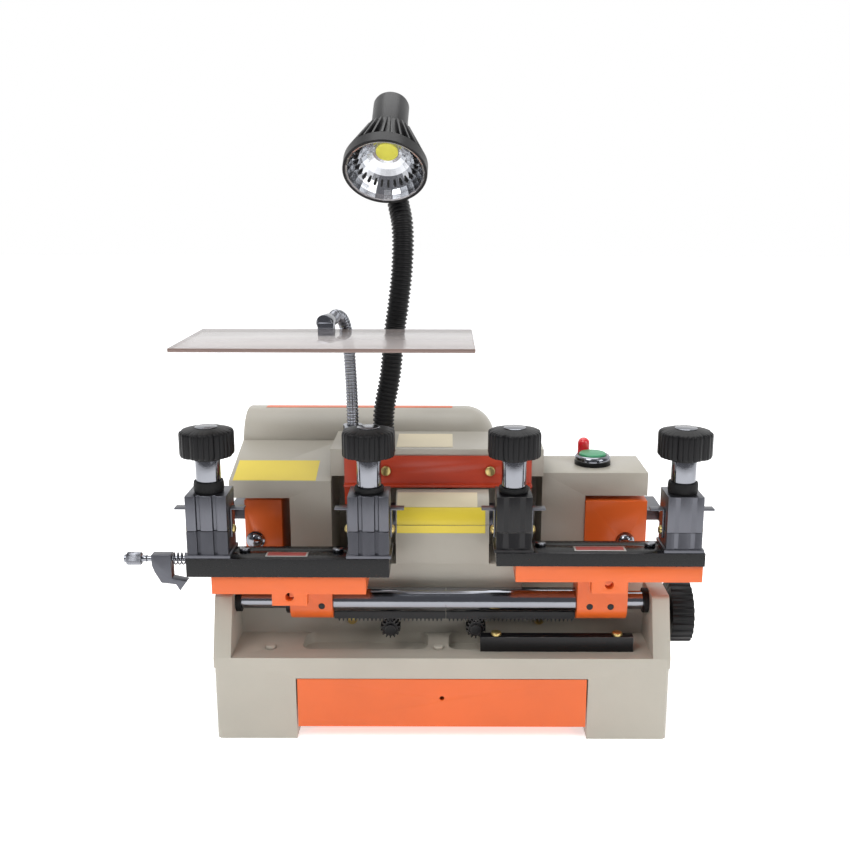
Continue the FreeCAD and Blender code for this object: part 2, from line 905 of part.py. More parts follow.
def bevel_gear():
    """A mitre gear about +Z with its cone's tip at the origin and its large end below."""
    module = size.gear_module
    pitch_radius = module * size.pinion_teeth / 2
    tip = pitch_radius + BEVEL_ADDENDUM * module
    root = pitch_radius - TOOTH_DEDENDUM * module
    outline = gear_points(size.pinion_teeth, tip, root, 0)
    ends = []
    for distance in (pitch_radius, pitch_radius - size.bevel_face):
        scale = distance / pitch_radius
        ends.append(closed_wire([Vector(scale * x, scale * y, -distance) for x, y in outline]))
    return Part.makeLoft(ends, True, True)


def pinion_shape():
    """A feed pinion with its shaft and mitre gear, about +Z with the mitre cone's tip at the origin."""
    module = size.gear_module
    pitch_radius = module * size.pinion_teeth / 2
    tip = pitch_radius + TOOTH_ADDENDUM * module
    root = pitch_radius - TOOTH_DEDENDUM * module
    middle = size.cross_setback - size.rail_setback
    outline = [
        Vector(x, y, -middle - size.pinion_face / 2)
        for x, y in gear_points(size.pinion_teeth, tip, root, math.pi / 2)
    ]
    gear = Part.Face(closed_wire(outline)).extrude(Vector(0, 0, size.pinion_face))
    front = -middle - size.pinion_face / 2 - size.gear_module * 2
    shaft = Part.makeCylinder(size.pinion_shaft_radius, -pitch_radius - front, Vector(0, 0, front))
    return gear.fuse([shaft, bevel_gear()]).removeSplitter()


def make_pinions():
    """Both feed pinions, with their axes along Y under the racks."""
    for side, _, _, place in SLEEVES:
        item = free_form(f"{side}_pinion", pinion_shape())
        item.Placement = Placement(Vector(), Rotation(Vector(1, 0, 0), -90))
        item.setExpression("Placement.Base.x", bound(place))
        item.setExpression("Placement.Base.y", bound(CROSS[0]))
        item.setExpression("Placement.Base.z", bound(CROSS[1]))
        keep(item)


WHEEL_START = f"({SIDE} + handwheel_hub_length)"
WHEEL_END = f"({SIDE} + handwheel_hub_length + handwheel_width)"


def make_cross_shaft():
    """The shaft behind the ledge that turns both pinions through mitre gears."""
    start = number("shaft_web_x + shaft_web / 4") + size.air_gap
    end = number(WHEEL_END) - size.cross_radius
    pieces = [Part.makeCylinder(size.cross_radius, end - start, Vector(start, 0, 0), Vector(1, 0, 0))]
    for _, _, _, place in SLEEVES:
        gear = bevel_gear()
        gear.rotate(Vector(), Vector(0, 1, 0), -90)
        gear.translate(Vector(number(place), 0, 0))
        pieces.append(gear)
    item = free_form("cross_shaft", pieces[0].fuse(pieces[1:]).removeSplitter())
    item.setExpression("Placement.Base.y", bound(CROSS[0]))
    item.setExpression("Placement.Base.z", bound(CROSS[1]))
    return keep(item)


def make_handwheel():
    """A moulded handwheel with a notched grip on the right end of the cross shaft."""
    rim, notches = notched_disc(
        "wheel_rim",
        "YZ",
        CROSS,
        "handwheel_radius",
        "handwheel_notch_radius",
        "handwheel_radius + handwheel_notch_radius / 2",
        "handwheel_notches",
        (WHEEL_START, WHEEL_END),
    )
    hub_start = f"({SIDE} + air_gap)"
    hub = rod("wheel_hub", "x", CROSS, "handwheel_hub_radius", (hub_start, WHEEL_END))
    bore = rod(
        "wheel_bore",
        "x",
        CROSS,
        "cross_radius + seat_clearance",
        (f"{hub_start} - {MARGIN}", f"{WHEEL_END} - cross_radius"),
    )
    return keep(cut("handwheel", fuse("wheel_solid", cut("wheel_grip", rim, *notches), hub), bore))


# Spindle, its bearings, cutters, motor and belt

DRUM_END = "(drum_length / 2)"
PEDESTAL_Y = (f"{SPINDLE[0]} - pedestal_depth / 2", f"{SPINDLE[0]} + pedestal_depth / 2")


def make_spindle_housing():
    """The drum that holds the spindle bearings, on its pedestal."""
    foot = block(
        "pedestal_foot",
        ("-pedestal_width / 2", "pedestal_width / 2"),
        PEDESTAL_Y,
        ("deck_height", "deck_height + pedestal_height"),
    )
    neck = block("pedestal_neck", (f"-{DRUM_END}", DRUM_END), PEDESTAL_Y, ("deck_height", SPINDLE[1]))
    drum = rod("drum", "x", SPINDLE, "drum_radius", (f"-{DRUM_END}", DRUM_END))
    bore = rod("drum_bore_tool", "x", SPINDLE, "drum_bore", (f"-{DRUM_END} - 1", f"{DRUM_END} + 1"))
    slot = block(
        "belt_slot",
        ("-belt_slot_width / 2", "belt_slot_width / 2"),
        (SPINDLE[0], f"{SPINDLE[0]} + 2 * drum_radius"),
        ("spindle_height - drum_bore", "spindle_height + drum_bore"),
    )
    return keep(cut("spindle_housing", fuse("housing_solid", foot, neck, drum), bore, slot))


def make_bearings():
    """A bearing ring at each end of the drum."""
    spans = (
        (f"-{DRUM_END}", f"-{DRUM_END} + bearing_width"),
        (f"{DRUM_END} - bearing_width", DRUM_END),
    )
    outer = "drum_bore - seat_clearance"
    inner = "spindle_radius + running_clearance"
    rings = [tube("bearing_ring", "x", SPINDLE, outer, inner, span) for span in spans]
    return keep(group("spindle_bearings", *rings))


def pulley(name, centre, radius, flange):
    """A flat belt pulley with two flanges, centred on X = 0."""
    half = "pulley_width / 2"
    cheeks = (pulley_cheek(name, centre, flange, "-1"), pulley_cheek(name, centre, flange, "1"))
    return fuse(name, rod(f"{name}_drum", "x", centre, radius, (f"-{half}", half)), *cheeks)


def pulley_cheek(name, centre, flange, sign):
    """One flange of a pulley."""
    span = ordered(sign, "belt_width / 2 + air_gap", "pulley_width / 2")
    return rod(f"{name}_cheek", "x", centre, flange, span)


LEFT_CUTTER = ("vise_two_x - cutter_thickness / 2", "vise_two_x + cutter_thickness / 2")
RIGHT_CUTTER = ("vise_three_x - cutter_thickness / 2", "vise_three_x + cutter_thickness / 2")


def make_spindle():
    """The spindle shaft with its pulley and a nut outside each cutter."""
    left_nut = (f"{LEFT_CUTTER[0]} - cutter_nut_length", LEFT_CUTTER[0])
    right_nut = (RIGHT_CUTTER[1], f"{RIGHT_CUTTER[1]} + cutter_nut_length")
    shaft = rod("spindle_bar", "x", SPINDLE, "spindle_radius", (left_nut[0], right_nut[1]))
    nuts = [rod("cutter_nut", "x", SPINDLE, "cutter_nut_radius", span) for span in (left_nut, right_nut)]
    collars = [
        rod("cutter_collar", "x", SPINDLE, "cutter_nut_radius + 2", span)
        for span in ((LEFT_CUTTER[1], f"-{DRUM_END} - air_gap"), (f"{DRUM_END} + air_gap", RIGHT_CUTTER[0]))
    ]
    wheel = pulley("spindle_pulley", SPINDLE, "pulley_radius", "pulley_flange")
    return keep(fuse("spindle", shaft, wheel, *nuts, *collars))


def cutter_shape():
    """A milling cutter about +X from the origin."""
    outline = [
        Vector(0, x, z)
        for x, z in gear_points(
            size.cutter_teeth, size.cutter_radius, size.cutter_radius - size.cutter_tooth_depth, 0
        )
    ]
    disc = Part.Face(closed_wire(outline)).extrude(Vector(size.cutter_thickness, 0, 0))
    bore = Part.makeCylinder(
        size.spindle_radius + size.seat_clearance, size.cutter_thickness, Vector(), Vector(1, 0, 0)
    )
    return disc.cut(bore)


def make_cutters():
    """One cutter over each inner vise."""
    for name, span in (("left_cutter", LEFT_CUTTER), ("right_cutter", RIGHT_CUTTER)):
        item = free_form(name, cutter_shape())
        item.setExpression("Placement.Base.x", bound(span[0]))
        item.setExpression("Placement.Base.y", bound(SPINDLE[0]))
        item.setExpression("Placement.Base.z", bound(SPINDLE[1]))
        keep(item)


def make_motor():
    """The motor under the rear cover and the pulley on its shaft."""
    span = ("-motor_length - motor_gap", "-motor_gap")
    can = rod("motor_can", "x", MOTOR, "motor_radius", span)
    foot = block(
        "motor_foot",
        ("-motor_length * 3 / 4 - motor_gap", "-motor_length / 4 - motor_gap"),
        ("motor_y - motor_foot_width / 2", "motor_y + motor_foot_width / 2"),
        ("deck_height", "motor_height - motor_radius / 2"),
    )
    socket = ("-2 * motor_gap", f"-motor_gap + {MARGIN}")
    bore = rod("motor_bore", "x", MOTOR, "motor_shaft_radius + running_clearance", socket)
    keep(cut("motor_body", fuse("motor_solid", can, foot), bore))
    shaft = rod("motor_shaft", "x", MOTOR, "motor_shaft_radius", ("-2 * motor_gap + 1", "pulley_width / 2"))
    wheel = pulley("motor_wheel", MOTOR, "motor_pulley_radius", "motor_pulley_flange")
    keep(fuse("motor_pulley", shaft, wheel))


def belt_loop(small, large, across):
    """The filled outline of a belt round two pulleys, as a solid of the belt's width."""
    offset = across
    start = Vector(0, number(SPINDLE[0]), size.spindle_height)
    end = Vector(0, size.motor_y, size.motor_height)
    line = end - start
    lean = math.asin((large - small) / line.Length)
    heading = math.atan2(line.z, line.y)
    tangents = []
    for side in (1, -1):
        angle = heading + side * (math.pi / 2 + lean)
        away = Vector(0, math.cos(angle), math.sin(angle))
        tangents.append((start + away * small, end + away * large))
    (upper_start, upper_end), (lower_start, lower_end) = tangents
    back = start - line.normalize() * small
    ahead = end + line * large
    wire = Part.Wire(
        [
            Part.LineSegment(upper_start, upper_end).toShape(),
            Part.Arc(upper_end, ahead, lower_end).toShape(),
            Part.LineSegment(lower_end, lower_start).toShape(),
            Part.Arc(lower_start, back, upper_start).toShape(),
        ]
    )
    loop = Part.Face(wire)
    loop.translate(Vector(-offset / 2, 0, 0))
    return loop.extrude(Vector(offset, 0, 0))


def make_belt():
    """The flat belt from the motor to the spindle."""
    small = size.pulley_radius + size.air_gap
    large = size.motor_pulley_radius + size.air_gap
    width = size.belt_width
    thick = size.belt_thickness
    outside = belt_loop(small + thick, large + thick, width)
    return keep(free_form("drive_belt", outside.cut(belt_loop(small, large, width))))


# Head housing, motor cover, cutter guard and tracer brackets

LEFT_HOOD_END = "(left_hood_x + left_hood_width)"
RIGHT_HOOD_END = "(right_hood_x + right_hood_width)"
RIGHT_FRONT = f"({HEAD_FRONT} + right_hood_inset)"


def make_head_housing():
    """The beige housing behind the cutters: two hoods, a shelf between them and a back wall."""
    left_top = prism(
        "left_hood",
        "YZ",
        [
            (HEAD_FRONT, "hood_overhang"),
            (HEAD_FRONT, "left_hood_front_height"),
            ("cover_front", "left_hood_rear_height"),
            ("cover_front", "hood_overhang"),
        ],
        ("left_hood_x", LEFT_HOOD_END),
    )
    left_space = prism(
        "left_hood_space",
        "YZ",
        [
            (f"{HEAD_FRONT} + head_wall", "deck_height - 1"),
            (f"{HEAD_FRONT} + head_wall", "left_hood_front_height - head_wall"),
            ("cover_front - head_wall", "left_hood_rear_height - 2 * head_wall"),
            ("cover_front - head_wall", "deck_height - 1"),
        ],
        (f"{LEFT_HOOD_END} - left_leg_width + head_wall", f"{LEFT_HOOD_END} - head_wall"),
    )
    left_leg = block(
        "left_leg",
        (f"{LEFT_HOOD_END} - left_leg_width", LEFT_HOOD_END),
        (HEAD_FRONT, "cover_front"),
        ("deck_height", "left_hood_front_height - head_wall"),
    )
    right_top = block(
        "right_hood",
        ("right_hood_x", RIGHT_HOOD_END),
        (RIGHT_FRONT, "cover_front"),
        ("hood_overhang", "right_hood_height"),
    )
    right_leg = block(
        "right_leg",
        ("right_hood_x", "right_hood_x + right_leg_width"),
        (RIGHT_FRONT, "cover_front"),
        ("deck_height", "right_hood_height"),
    )
    right_space = block(
        "right_hood_space",
        ("right_hood_x + head_wall", "right_hood_x + right_leg_width - head_wall"),
        (f"{RIGHT_FRONT} + head_wall", "cover_front - head_wall"),
        ("deck_height - 1", "right_hood_height - head_wall"),
    )
    shelf = block(
        "head_shelf",
        (LEFT_HOOD_END, "right_hood_x"),
        (SHELF_FRONT, "cover_front"),
        ("shelf_height - shelf_thickness", "shelf_height"),
    )
    brow = block(
        "head_brow",
        (LEFT_HOOD_END, "right_hood_x"),
        (SHELF_FRONT, f"{SHELF_FRONT} + head_wall"),
        ("guard_bottom + guard_lip", "shelf_height"),
    )
    back = block(
        "head_back",
        (LEFT_HOOD_END, "right_hood_x"),
        ("cover_front - head_wall", "cover_front"),
        ("deck_height", "shelf_height"),
    )
    slot = block(
        "head_belt_slot",
        ("-belt_slot_width / 2", "belt_slot_width / 2"),
        ("cover_front - head_wall - 1", "cover_front + 1"),
        ("motor_height - motor_pulley_flange - head_wall", "spindle_height + drum_radius"),
    )
    button_hole = rod(
        "button_hole",
        "z",
        ("button_x", "button_y"),
        "button_body_radius + running_clearance",
        ("hood_overhang - 1", "right_hood_height + 1"),
    )
    solid = fuse("head_solid", left_top, left_leg, right_top, right_leg, shelf, brow, back)
    holes = [screw_hole("guard_screw_hole", screw) for screw in GUARD_SCREWS]
    return keep(cut("head_housing", solid, left_space, right_space, slot, button_hole, *holes))


def cover_hull(name, shrink):
    """The cover's rounded outside, or its inside when shrunk by a wall."""
    left, right = f"left_hood_x + {shrink}", f"{COVER_RIGHT} - {shrink}"
    low = "deck_height - 1" if shrink != "0" else "deck_height"
    top = f"cover_height - {shrink}"
    front = f"cover_front + {shrink}"
    rear = f"{REAR} - {shrink}"
    crown = f"{front} + cover_crown"
    outline = [(front, low), (front, top), (crown, top), (rear, f"{top} - cover_fall"), (rear, low)]
    body = prism(name, "YZ", outline, (left, right))
    height = number(f"{top} - cover_fall") - TOUCH
    bends = (("cover_crown_round", crown), ("cover_front_round", front), ("cover_rear_round", rear))
    for radius, place in bends:
        round_edges(body, f"{radius} - {shrink}", lambda edge: runs_across(edge, number(place), height))
    right_end = number(right) - TOUCH
    return round_edges(
        body,
        f"cover_side_round - {shrink}",
        lambda edge: edge.BoundBox.XMin > right_end
        and edge.BoundBox.ZMin > height
        and edge.BoundBox.YLength > TOUCH,
    )


def runs_across(edge, place, height):
    """Whether an edge runs from side to side at a depth and above a height."""
    box = edge.BoundBox
    return runs_along(edge, "x") and abs(box.YMin - place) < TOUCH and box.ZMin > height


def make_motor_cover():
    """The large rear cover over the motor and the belt."""
    slot = block(
        "cover_belt_slot",
        ("-belt_slot_width / 2", "belt_slot_width / 2"),
        ("cover_front - 1", "cover_front + 2 * cover_wall"),
        ("motor_height - motor_pulley_flange - head_wall", "spindle_height + drum_radius"),
    )
    inside = cover_hull("cover_inside", "cover_wall")
    return keep(cut("motor_cover", cover_hull("cover_outside", "0"), inside, slot))


def make_guard():
    """The bent sheet guard over the cutters, with a lip below and a flap at each end."""
    span = ("guard_left", "guard_left + guard_length")
    face = (HEAD_FRONT, SHELF_FRONT)
    sheet_face = block("guard_face", span, face, ("guard_bottom", "guard_bottom + guard_height"))
    lip = block(
        "guard_lip_sheet",
        span,
        (f"{HEAD_FRONT} - guard_lip", SHELF_FRONT),
        ("guard_bottom", "guard_bottom + guard_thickness"),
    )
    flaps = [
        block("guard_end", side, face, ("guard_bottom - guard_flap", "guard_bottom + guard_thickness"))
        for side in ((span[0], f"{span[0]} + guard_flap"), (f"{span[1]} - guard_flap / 2", span[1]))
    ]
    holes = [screw_hole("guard_hole", screw) for screw in GUARD_SCREWS]
    return keep(cut("cutter_guard", fuse("guard_solid", sheet_face, lip, *flaps), *holes))


BRACKET_Y = ("-bracket_front", "-bracket_front + bracket_depth")


def make_brackets():
    """The orange blocks that hold the tracers, each standing on the deck."""
    left = block(
        "left_bracket_block",
        ("left_bracket_x", "left_bracket_x + left_bracket_width - bracket_foot_height"),
        BRACKET_Y,
        ("deck_height", "bracket_top"),
    )
    right = block(
        "right_bracket_block",
        ("right_bracket_x + air_gap", "right_bracket_x + right_bracket_width"),
        BRACKET_Y,
        ("deck_height", "bracket_top"),
    )
    holes = [screw_hole("left_bracket_hole", screw) for screw in LEFT_BRACKET_SCREWS]
    keep(cut("left_tracer_bracket", left, *holes))
    holes = [screw_hole("right_bracket_hole", screw) for screw in RIGHT_BRACKET_SCREWS]
    keep(cut("right_tracer_bracket", right, *holes))


def make_tracers():
    """A steel tracer on the outer face of each bracket, opposite the outer vises."""
    pieces = []
    for place, face in (
        ("vise_one_x", "left_bracket_x"),
        ("vise_four_x", "right_bracket_x + right_bracket_width"),
    ):
        low, high = (place, face) if number(place) < number(face) else (face, place)
        arm = block(
            "tracer_arm",
            (low, high),
            BRACKET_Y,
            ("spindle_height - tracer_height", "spindle_height"),
        )
        blade = block(
            "tracer_blade",
            (f"{place} - tracer_thickness / 2", f"{place} + tracer_thickness / 2"),
            (f"{SPINDLE[0]} - cutter_radius", BRACKET_Y[1]),
            ("spindle_height - tracer_height", "spindle_height"),
        )
        pieces.append(fuse("tracer", arm, blade))
    return keep(group("tracers", *pieces))


# Carriages: arm, table, lower jaws and fixings

LEFT_CLAMP = ("left_sleeve_x - air_gap - left_clamp_length", "left_sleeve_x - air_gap")
RIGHT_CLAMP = (
    "right_sleeve_x + right_sleeve_length + air_gap",
    "right_sleeve_x + right_sleeve_length + air_gap + right_clamp_length",
)
CLAMP_Y = (f"{RAIL[0]} - clamp_radius", f"{RAIL[0]} + clamp_radius")
TABLE_Y = ("-table_front", "-table_front + table_width")
JAW_Y = ("-jaw_front", "-jaw_front + jaw_depth")
POST_Y = "(-jaw_front + jaw_depth / 2)"
GAUGE = ("(-table_front + gauge_setback)", "gauge_height")


def set_screw(name, place, radius):
    """A set screw in the front of a clamp, or its hole."""
    return rod(name, "y", (place, RAIL[1]), radius, (CLAMP_Y[0], f"{CLAMP_Y[0]} + set_screw_depth"))


def arm(name, clamp, flange_x, bottom, top, tab_x, screws):
    """An orange arm: a clamp on the rail, a flange under the table and a tab with a hole."""
    ring = rod(f"{name}_ring", "x", RAIL, "clamp_radius", clamp)
    web = block(f"{name}_web", clamp, CLAMP_Y, ("rail_height", bottom))
    flange = block(f"{name}_flange", flange_x, ("-arm_front", "-arm_rear"), (bottom, top))
    tab_y = ("-arm_front", "-arm_front + tab_thickness")
    drop = f"({bottom} - tab_drop)"
    tab = block(f"{name}_tab", (f"{tab_x} - tab_width / 2", f"{tab_x} + tab_width / 2"), tab_y, (drop, top))
    bore = rod(
        f"{name}_bore", "x", RAIL, "rail_radius + running_clearance", (f"{clamp[0]} - 1", f"{clamp[1]} + 1")
    )
    hole = rod(
        f"{name}_hole",
        "y",
        (tab_x, f"{bottom} - tab_drop / 4"),
        "tab_hole_radius",
        ("-arm_front - 1", "-arm_front + tab_thickness + 1"),
    )
    sockets = [set_screw(f"{name}_socket", place, "set_screw_radius + seat_clearance") for place in screws]
    return keep(cut(f"{name}_arm", fuse(f"{name}_solid", ring, web, flange, tab), bore, hole, *sockets))


RIGHT_TABLE_SCREWS = [
    ("z", ("vise_three_x + narrow_jaw * 4 / 5", "-arm_rear - arm_rear / 5"), "right_table_top", 1),
    ("z", ("vise_four_x - narrow_jaw * 5 / 6", "-arm_rear - arm_rear / 5"), "right_table_top", 1),
]
LEFT_TABLE_SCREWS = [
    ("z", ("vise_one_x + wide_jaw * 4 / 5", "-arm_rear - arm_rear / 5"), "left_table_top", 1),
    ("z", ("vise_two_x - wide_jaw * 4 / 5", "-arm_rear - arm_rear / 5"), "left_table_top", 1),
]
LEFT_SET_SCREWS = [f"{LEFT_CLAMP[1]} - left_clamp_length / 4"]
RIGHT_SET_SCREWS = [
    f"{RIGHT_CLAMP[0]} + right_clamp_length / 4",
    f"{RIGHT_CLAMP[1]} - right_clamp_length / 3",
]


def make_arms():
    """Both arms on the rail."""
    left_x = ("left_arm_x", "left_arm_x + left_arm_length")
    arm("left", LEFT_CLAMP, left_x, "left_arm_bottom", "left_table_bottom", "left_tab_x", LEFT_SET_SCREWS)
    right_x = ("right_arm_x", "right_arm_x + right_arm_length")
    screws = RIGHT_SET_SCREWS
    arm("right", RIGHT_CLAMP, right_x, "right_arm_bottom", "right_table_bottom", "right_tab_x", screws)


def make_tables():
    """The two dark tables that carry the vises."""
    left = block(
        "left_table_solid",
        ("left_table_x", "left_table_x + left_table_length"),
        TABLE_Y,
        ("left_table_bottom", "left_table_top"),
    )
    rod_hole = rod(
        "gauge_hole",
        "x",
        GAUGE,
        "gauge_rod_radius + running_clearance",
        ("left_table_x - 1", "left_table_x + gauge_block_length"),
    )
    holes = [screw_hole("left_table_hole", screw) for screw in LEFT_TABLE_SCREWS]
    keep(cut("left_table", left, rod_hole, *holes))
    right = block(
        "right_table_solid",
        ("right_table_x", "right_table_x + right_table_length"),
        TABLE_Y,
        ("right_table_bottom", "right_table_top"),
    )
    holes = [screw_hole("right_table_hole", screw) for screw in RIGHT_TABLE_SCREWS]
    keep(cut("right_table", right, *holes))


def make_fixings():
    """Set screws of the clamps, screws of the tables and the stop collar beside the left clamp."""
    collar = tube(
        "stop_collar",
        "x",
        RAIL,
        "seal_radius + 1",
        "rail_radius + running_clearance",
        (f"{LEFT_CLAMP[0]} - seal_thickness", LEFT_CLAMP[0]),
    )
    left = [set_screw("left_set_screw", place, "set_screw_radius") for place in LEFT_SET_SCREWS]
    left += [pan_screw("left_table_screw", screw) for screw in LEFT_TABLE_SCREWS]
    keep(group("left_fixings", collar, *left))
    right = [set_screw("right_set_screw", place, "set_screw_radius") for place in RIGHT_SET_SCREWS]
    right += [pan_screw("right_table_screw", screw) for screw in RIGHT_TABLE_SCREWS]
    keep(group("right_fixings", *right))


# Vises


def jaw_grooves(name, place, span):
    """Two upright grooves in the front of a jaw."""
    grooves = []
    for sign in ("-", "+"):
        middle = f"{place} {sign} jaw_groove_offset"
        grooves.append(
            block(
                name,
                (f"{middle} - jaw_groove_width / 2", f"{middle} + jaw_groove_width / 2"),
                (f"{JAW_Y[0]} - 1", f"{JAW_Y[0]} + jaw_groove_depth"),
                span,
            )
        )
    return grooves


def lower_jaw(name, place, width, seat):
    """The lower half of a vise on its table, and the stud that stands in it."""
    half = f"{width} / 2"
    ledge = block(
        f"{name}_ledge",
        (f"{place} - {half} - jaw_ledge_reach", f"{place} + {half} + jaw_ledge_reach"),
        (f"{JAW_Y[0]} - jaw_ledge_reach", JAW_Y[1]),
        (seat, f"{seat} + jaw_ledge_height"),
    )
    cube = block(f"{name}_cube", (f"{place} - {half}", f"{place} + {half}"), JAW_Y, (seat, "jaw_parting"))
    pivot = rod(
        f"{name}_pivot",
        "x",
        (POST_Y, "finger_pivot_height"),
        "finger_pivot_radius + running_clearance",
        (f"{place} - {half} - 1", f"{place} + {half} + 1"),
    )
    grooves = jaw_grooves(f"{name}_groove", place, (f"{seat} + jaw_ledge_height", "jaw_parting + 1"))
    jaw = cut(name, fuse(f"{name}_solid", ledge, cube), pivot, *grooves)
    rise = ("jaw_parting", "post_top + knob_height / 2")
    stud = rod(f"{name}_stud", "z", (place, POST_Y), "stud_radius", rise)
    return [jaw, stud]


def upper_jaw(name, place, width):
    """The upper half of a vise, which slides on the stud."""
    half = f"{width} / 2"
    span = ("jaw_parting + air_gap", "jaw_top")
    cube = block(f"{name}_cube", (f"{place} - {half}", f"{place} + {half}"), JAW_Y, span)
    depth = (f"{span[0]} - 1", "jaw_top + 1")
    bore = rod(f"{name}_bore", "z", (place, POST_Y), "stud_radius + air_gap", depth)
    grooves = jaw_grooves(f"{name}_groove", place, ("jaw_parting", "jaw_top + 1"))
    return keep(cut(name, cube, bore, *grooves))


def knob(name, place):
    """A lobed grip knob and the chromed post below it."""
    centre = (place, POST_Y)
    low, shoulder = "post_top", "post_top + knob_height - knob_crown"
    disc, notches = notched_disc(
        f"{name}_disc",
        "XY",
        centre,
        "knob_radius",
        "knob_notch_radius",
        "knob_radius + knob_notch_radius - knob_notch_inset",
        "knob_lobes",
        (low, shoulder),
    )
    crown = rod(
        f"{name}_crown",
        "z",
        centre,
        "knob_radius - knob_notch_radius",
        (shoulder, "post_top + knob_height"),
    )
    bore_radius = "stud_radius + running_clearance"
    bore = rod(f"{name}_bore", "z", centre, bore_radius, (f"{low} - 1", "post_top + knob_height / 2 + 1"))
    grip = cut(f"{name}_grip", fuse(f"{name}_solid", cut(f"{name}_lobes", disc, *notches), crown), bore)
    post = tube(f"{name}_post", "z", centre, "post_radius", bore_radius, ("jaw_top + air_gap", "post_top"))
    return keep(group(name, grip, post))


def stop_fingers(name, place, width):
    """The two bent stop fingers of a vise on their common pivot pin."""
    reach = f"({width} / 2 + air_gap + finger_thickness)"
    pieces = [
        rod(
            f"{name}_pin",
            "x",
            (POST_Y, "finger_pivot_height"),
            "finger_pivot_radius",
            (f"{place} - {reach}", f"{place} + {reach}"),
        )
    ]
    strip_y = (f"{POST_Y} - finger_width / 2", f"{POST_Y} + finger_width / 2")
    foot = "finger_pivot_height - finger_foot"
    for sign in ("-1", "1"):
        near, far = ordered(sign, f"{width} / 2 + air_gap", reach)
        strip_x = (f"{place} + ({near})", f"{place} + ({far})")
        pieces.append(block(f"{name}_strip", strip_x, strip_y, (foot, f"{foot} + finger_height")))
        near, far = ordered(sign, f"{width} / 2 + air_gap", f"{reach} + finger_tab")
        tab_x = (f"{place} + ({near})", f"{place} + ({far})")
        tab_z = (f"{foot} + finger_height - finger_thickness", f"{foot} + finger_height")
        pieces.append(block(f"{name}_tab", tab_x, strip_y, tab_z))
    return keep(fuse(name, *pieces))


VISES = (
    ("one", "vise_one_x", "wide_jaw", "left"),
    ("two", "vise_two_x", "wide_jaw", "left"),
    ("three", "vise_three_x", "narrow_jaw", "right"),
    ("four", "vise_four_x", "narrow_jaw", "right"),
)


def make_vises():
    """Four vises, two on each table."""
    lower = {"left": [], "right": []}
    for title, place, width, side in VISES:
        lower[side] += lower_jaw(f"vise_{title}_lower_jaw", place, width, f"{side}_table_top")
        upper_jaw(f"vise_{title}_upper_jaw", place, width)
        knob(f"vise_{title}_knob", place)
        stop_fingers(f"vise_{title}_stops", place, width)
    for side, pieces in lower.items():
        keep(group(f"{side}_lower_jaws", *pieces))


# Width gauge on the end of the left table

GAUGE_FACE = "(gauge_block_x + gauge_block_length)"
GAUGE_Y = (f"{GAUGE[0]} - gauge_block_width / 2", f"{GAUGE[0]} + gauge_block_width / 2")


def make_gauge_block():
    """The sliding block with a pointed hook below it."""
    top = "gauge_height + gauge_block_height / 2"
    bottom = "gauge_height - gauge_block_height / 2"
    tip = f"({bottom} - gauge_hook_drop + gauge_hook_thickness)"
    foot = f"({bottom} - gauge_hook_drop / 2)"
    outline = [
        ("gauge_block_x", top),
        (GAUGE_FACE, top),
        (GAUGE_FACE, f"{foot} + gauge_hook_thickness / 2"),
        (f"{GAUGE_FACE} + gauge_hook_reach", foot),
        (f"{GAUGE_FACE} + gauge_hook_reach / 2", tip),
        (f"{GAUGE_FACE} + gauge_hook_reach / 4", f"{tip} + gauge_hook_thickness"),
        (f"{GAUGE_FACE} - gauge_hook_width", f"{foot} - gauge_hook_thickness / 4"),
        ("gauge_block_x + gauge_hook_thickness / 3", f"{bottom} - gauge_hook_thickness"),
        ("gauge_block_x", bottom),
    ]
    solid = prism("gauge_solid", "XZ", outline, GAUGE_Y)
    bore = rod(
        "gauge_bore",
        "x",
        GAUGE,
        "gauge_rod_radius + running_clearance",
        ("gauge_block_x - 1", f"{GAUGE_FACE} + 1"),
    )
    return keep(cut("gauge_block", solid, bore))


def make_gauge_screw():
    """The knurled knob and the rod that it turns."""
    grip = rod(
        "gauge_grip",
        "x",
        GAUGE,
        "gauge_knob_radius",
        ("gauge_knob_x", "gauge_knob_x + gauge_knob_length"),
    )
    bar = rod(
        "gauge_rod",
        "x",
        GAUGE,
        "gauge_rod_radius",
        ("gauge_knob_x", "left_table_x + gauge_block_length - air_gap"),
    )
    return keep(fuse("gauge_screw", grip, bar))


def arc_edge(start, control, end):
    """A round arc from start to end whose tangents meet at the control point."""
    weight = (end - start).Length / (2 * (control - start).Length)
    middle = ((start + end) * 0.5 + control * weight) * (1 / (1 + weight))
    return Part.Arc(start, middle, end).toShape()


def biarc_edges(start, start_way, end, end_way):
    """Two arcs that leave start and reach end along the given unit directions."""
    gap = end - start
    ways = start_way + end_way
    quad = ways.dot(ways) - 4
    slope = -2 * gap.dot(ways)
    rest = gap.dot(gap)
    reach = (-slope - math.sqrt(slope * slope - 4 * quad * rest)) / (2 * quad)
    first = start + start_way * reach
    second = end - end_way * reach
    middle = (first + second) * 0.5
    return [arc_edge(start, first, middle), arc_edge(middle, second, end)]


QUARTERS = 4


def helix_station(quarter, radius, rise, origin):
    """A point of the spring's centre line about +X, and its unit direction."""
    angle = quarter * math.pi / 2
    point = origin + Vector(rise * quarter / QUARTERS, radius * math.cos(angle), radius * math.sin(angle))
    way = Vector(rise / (2 * math.pi), -radius * math.sin(angle), radius * math.cos(angle))
    return point, way.normalize()


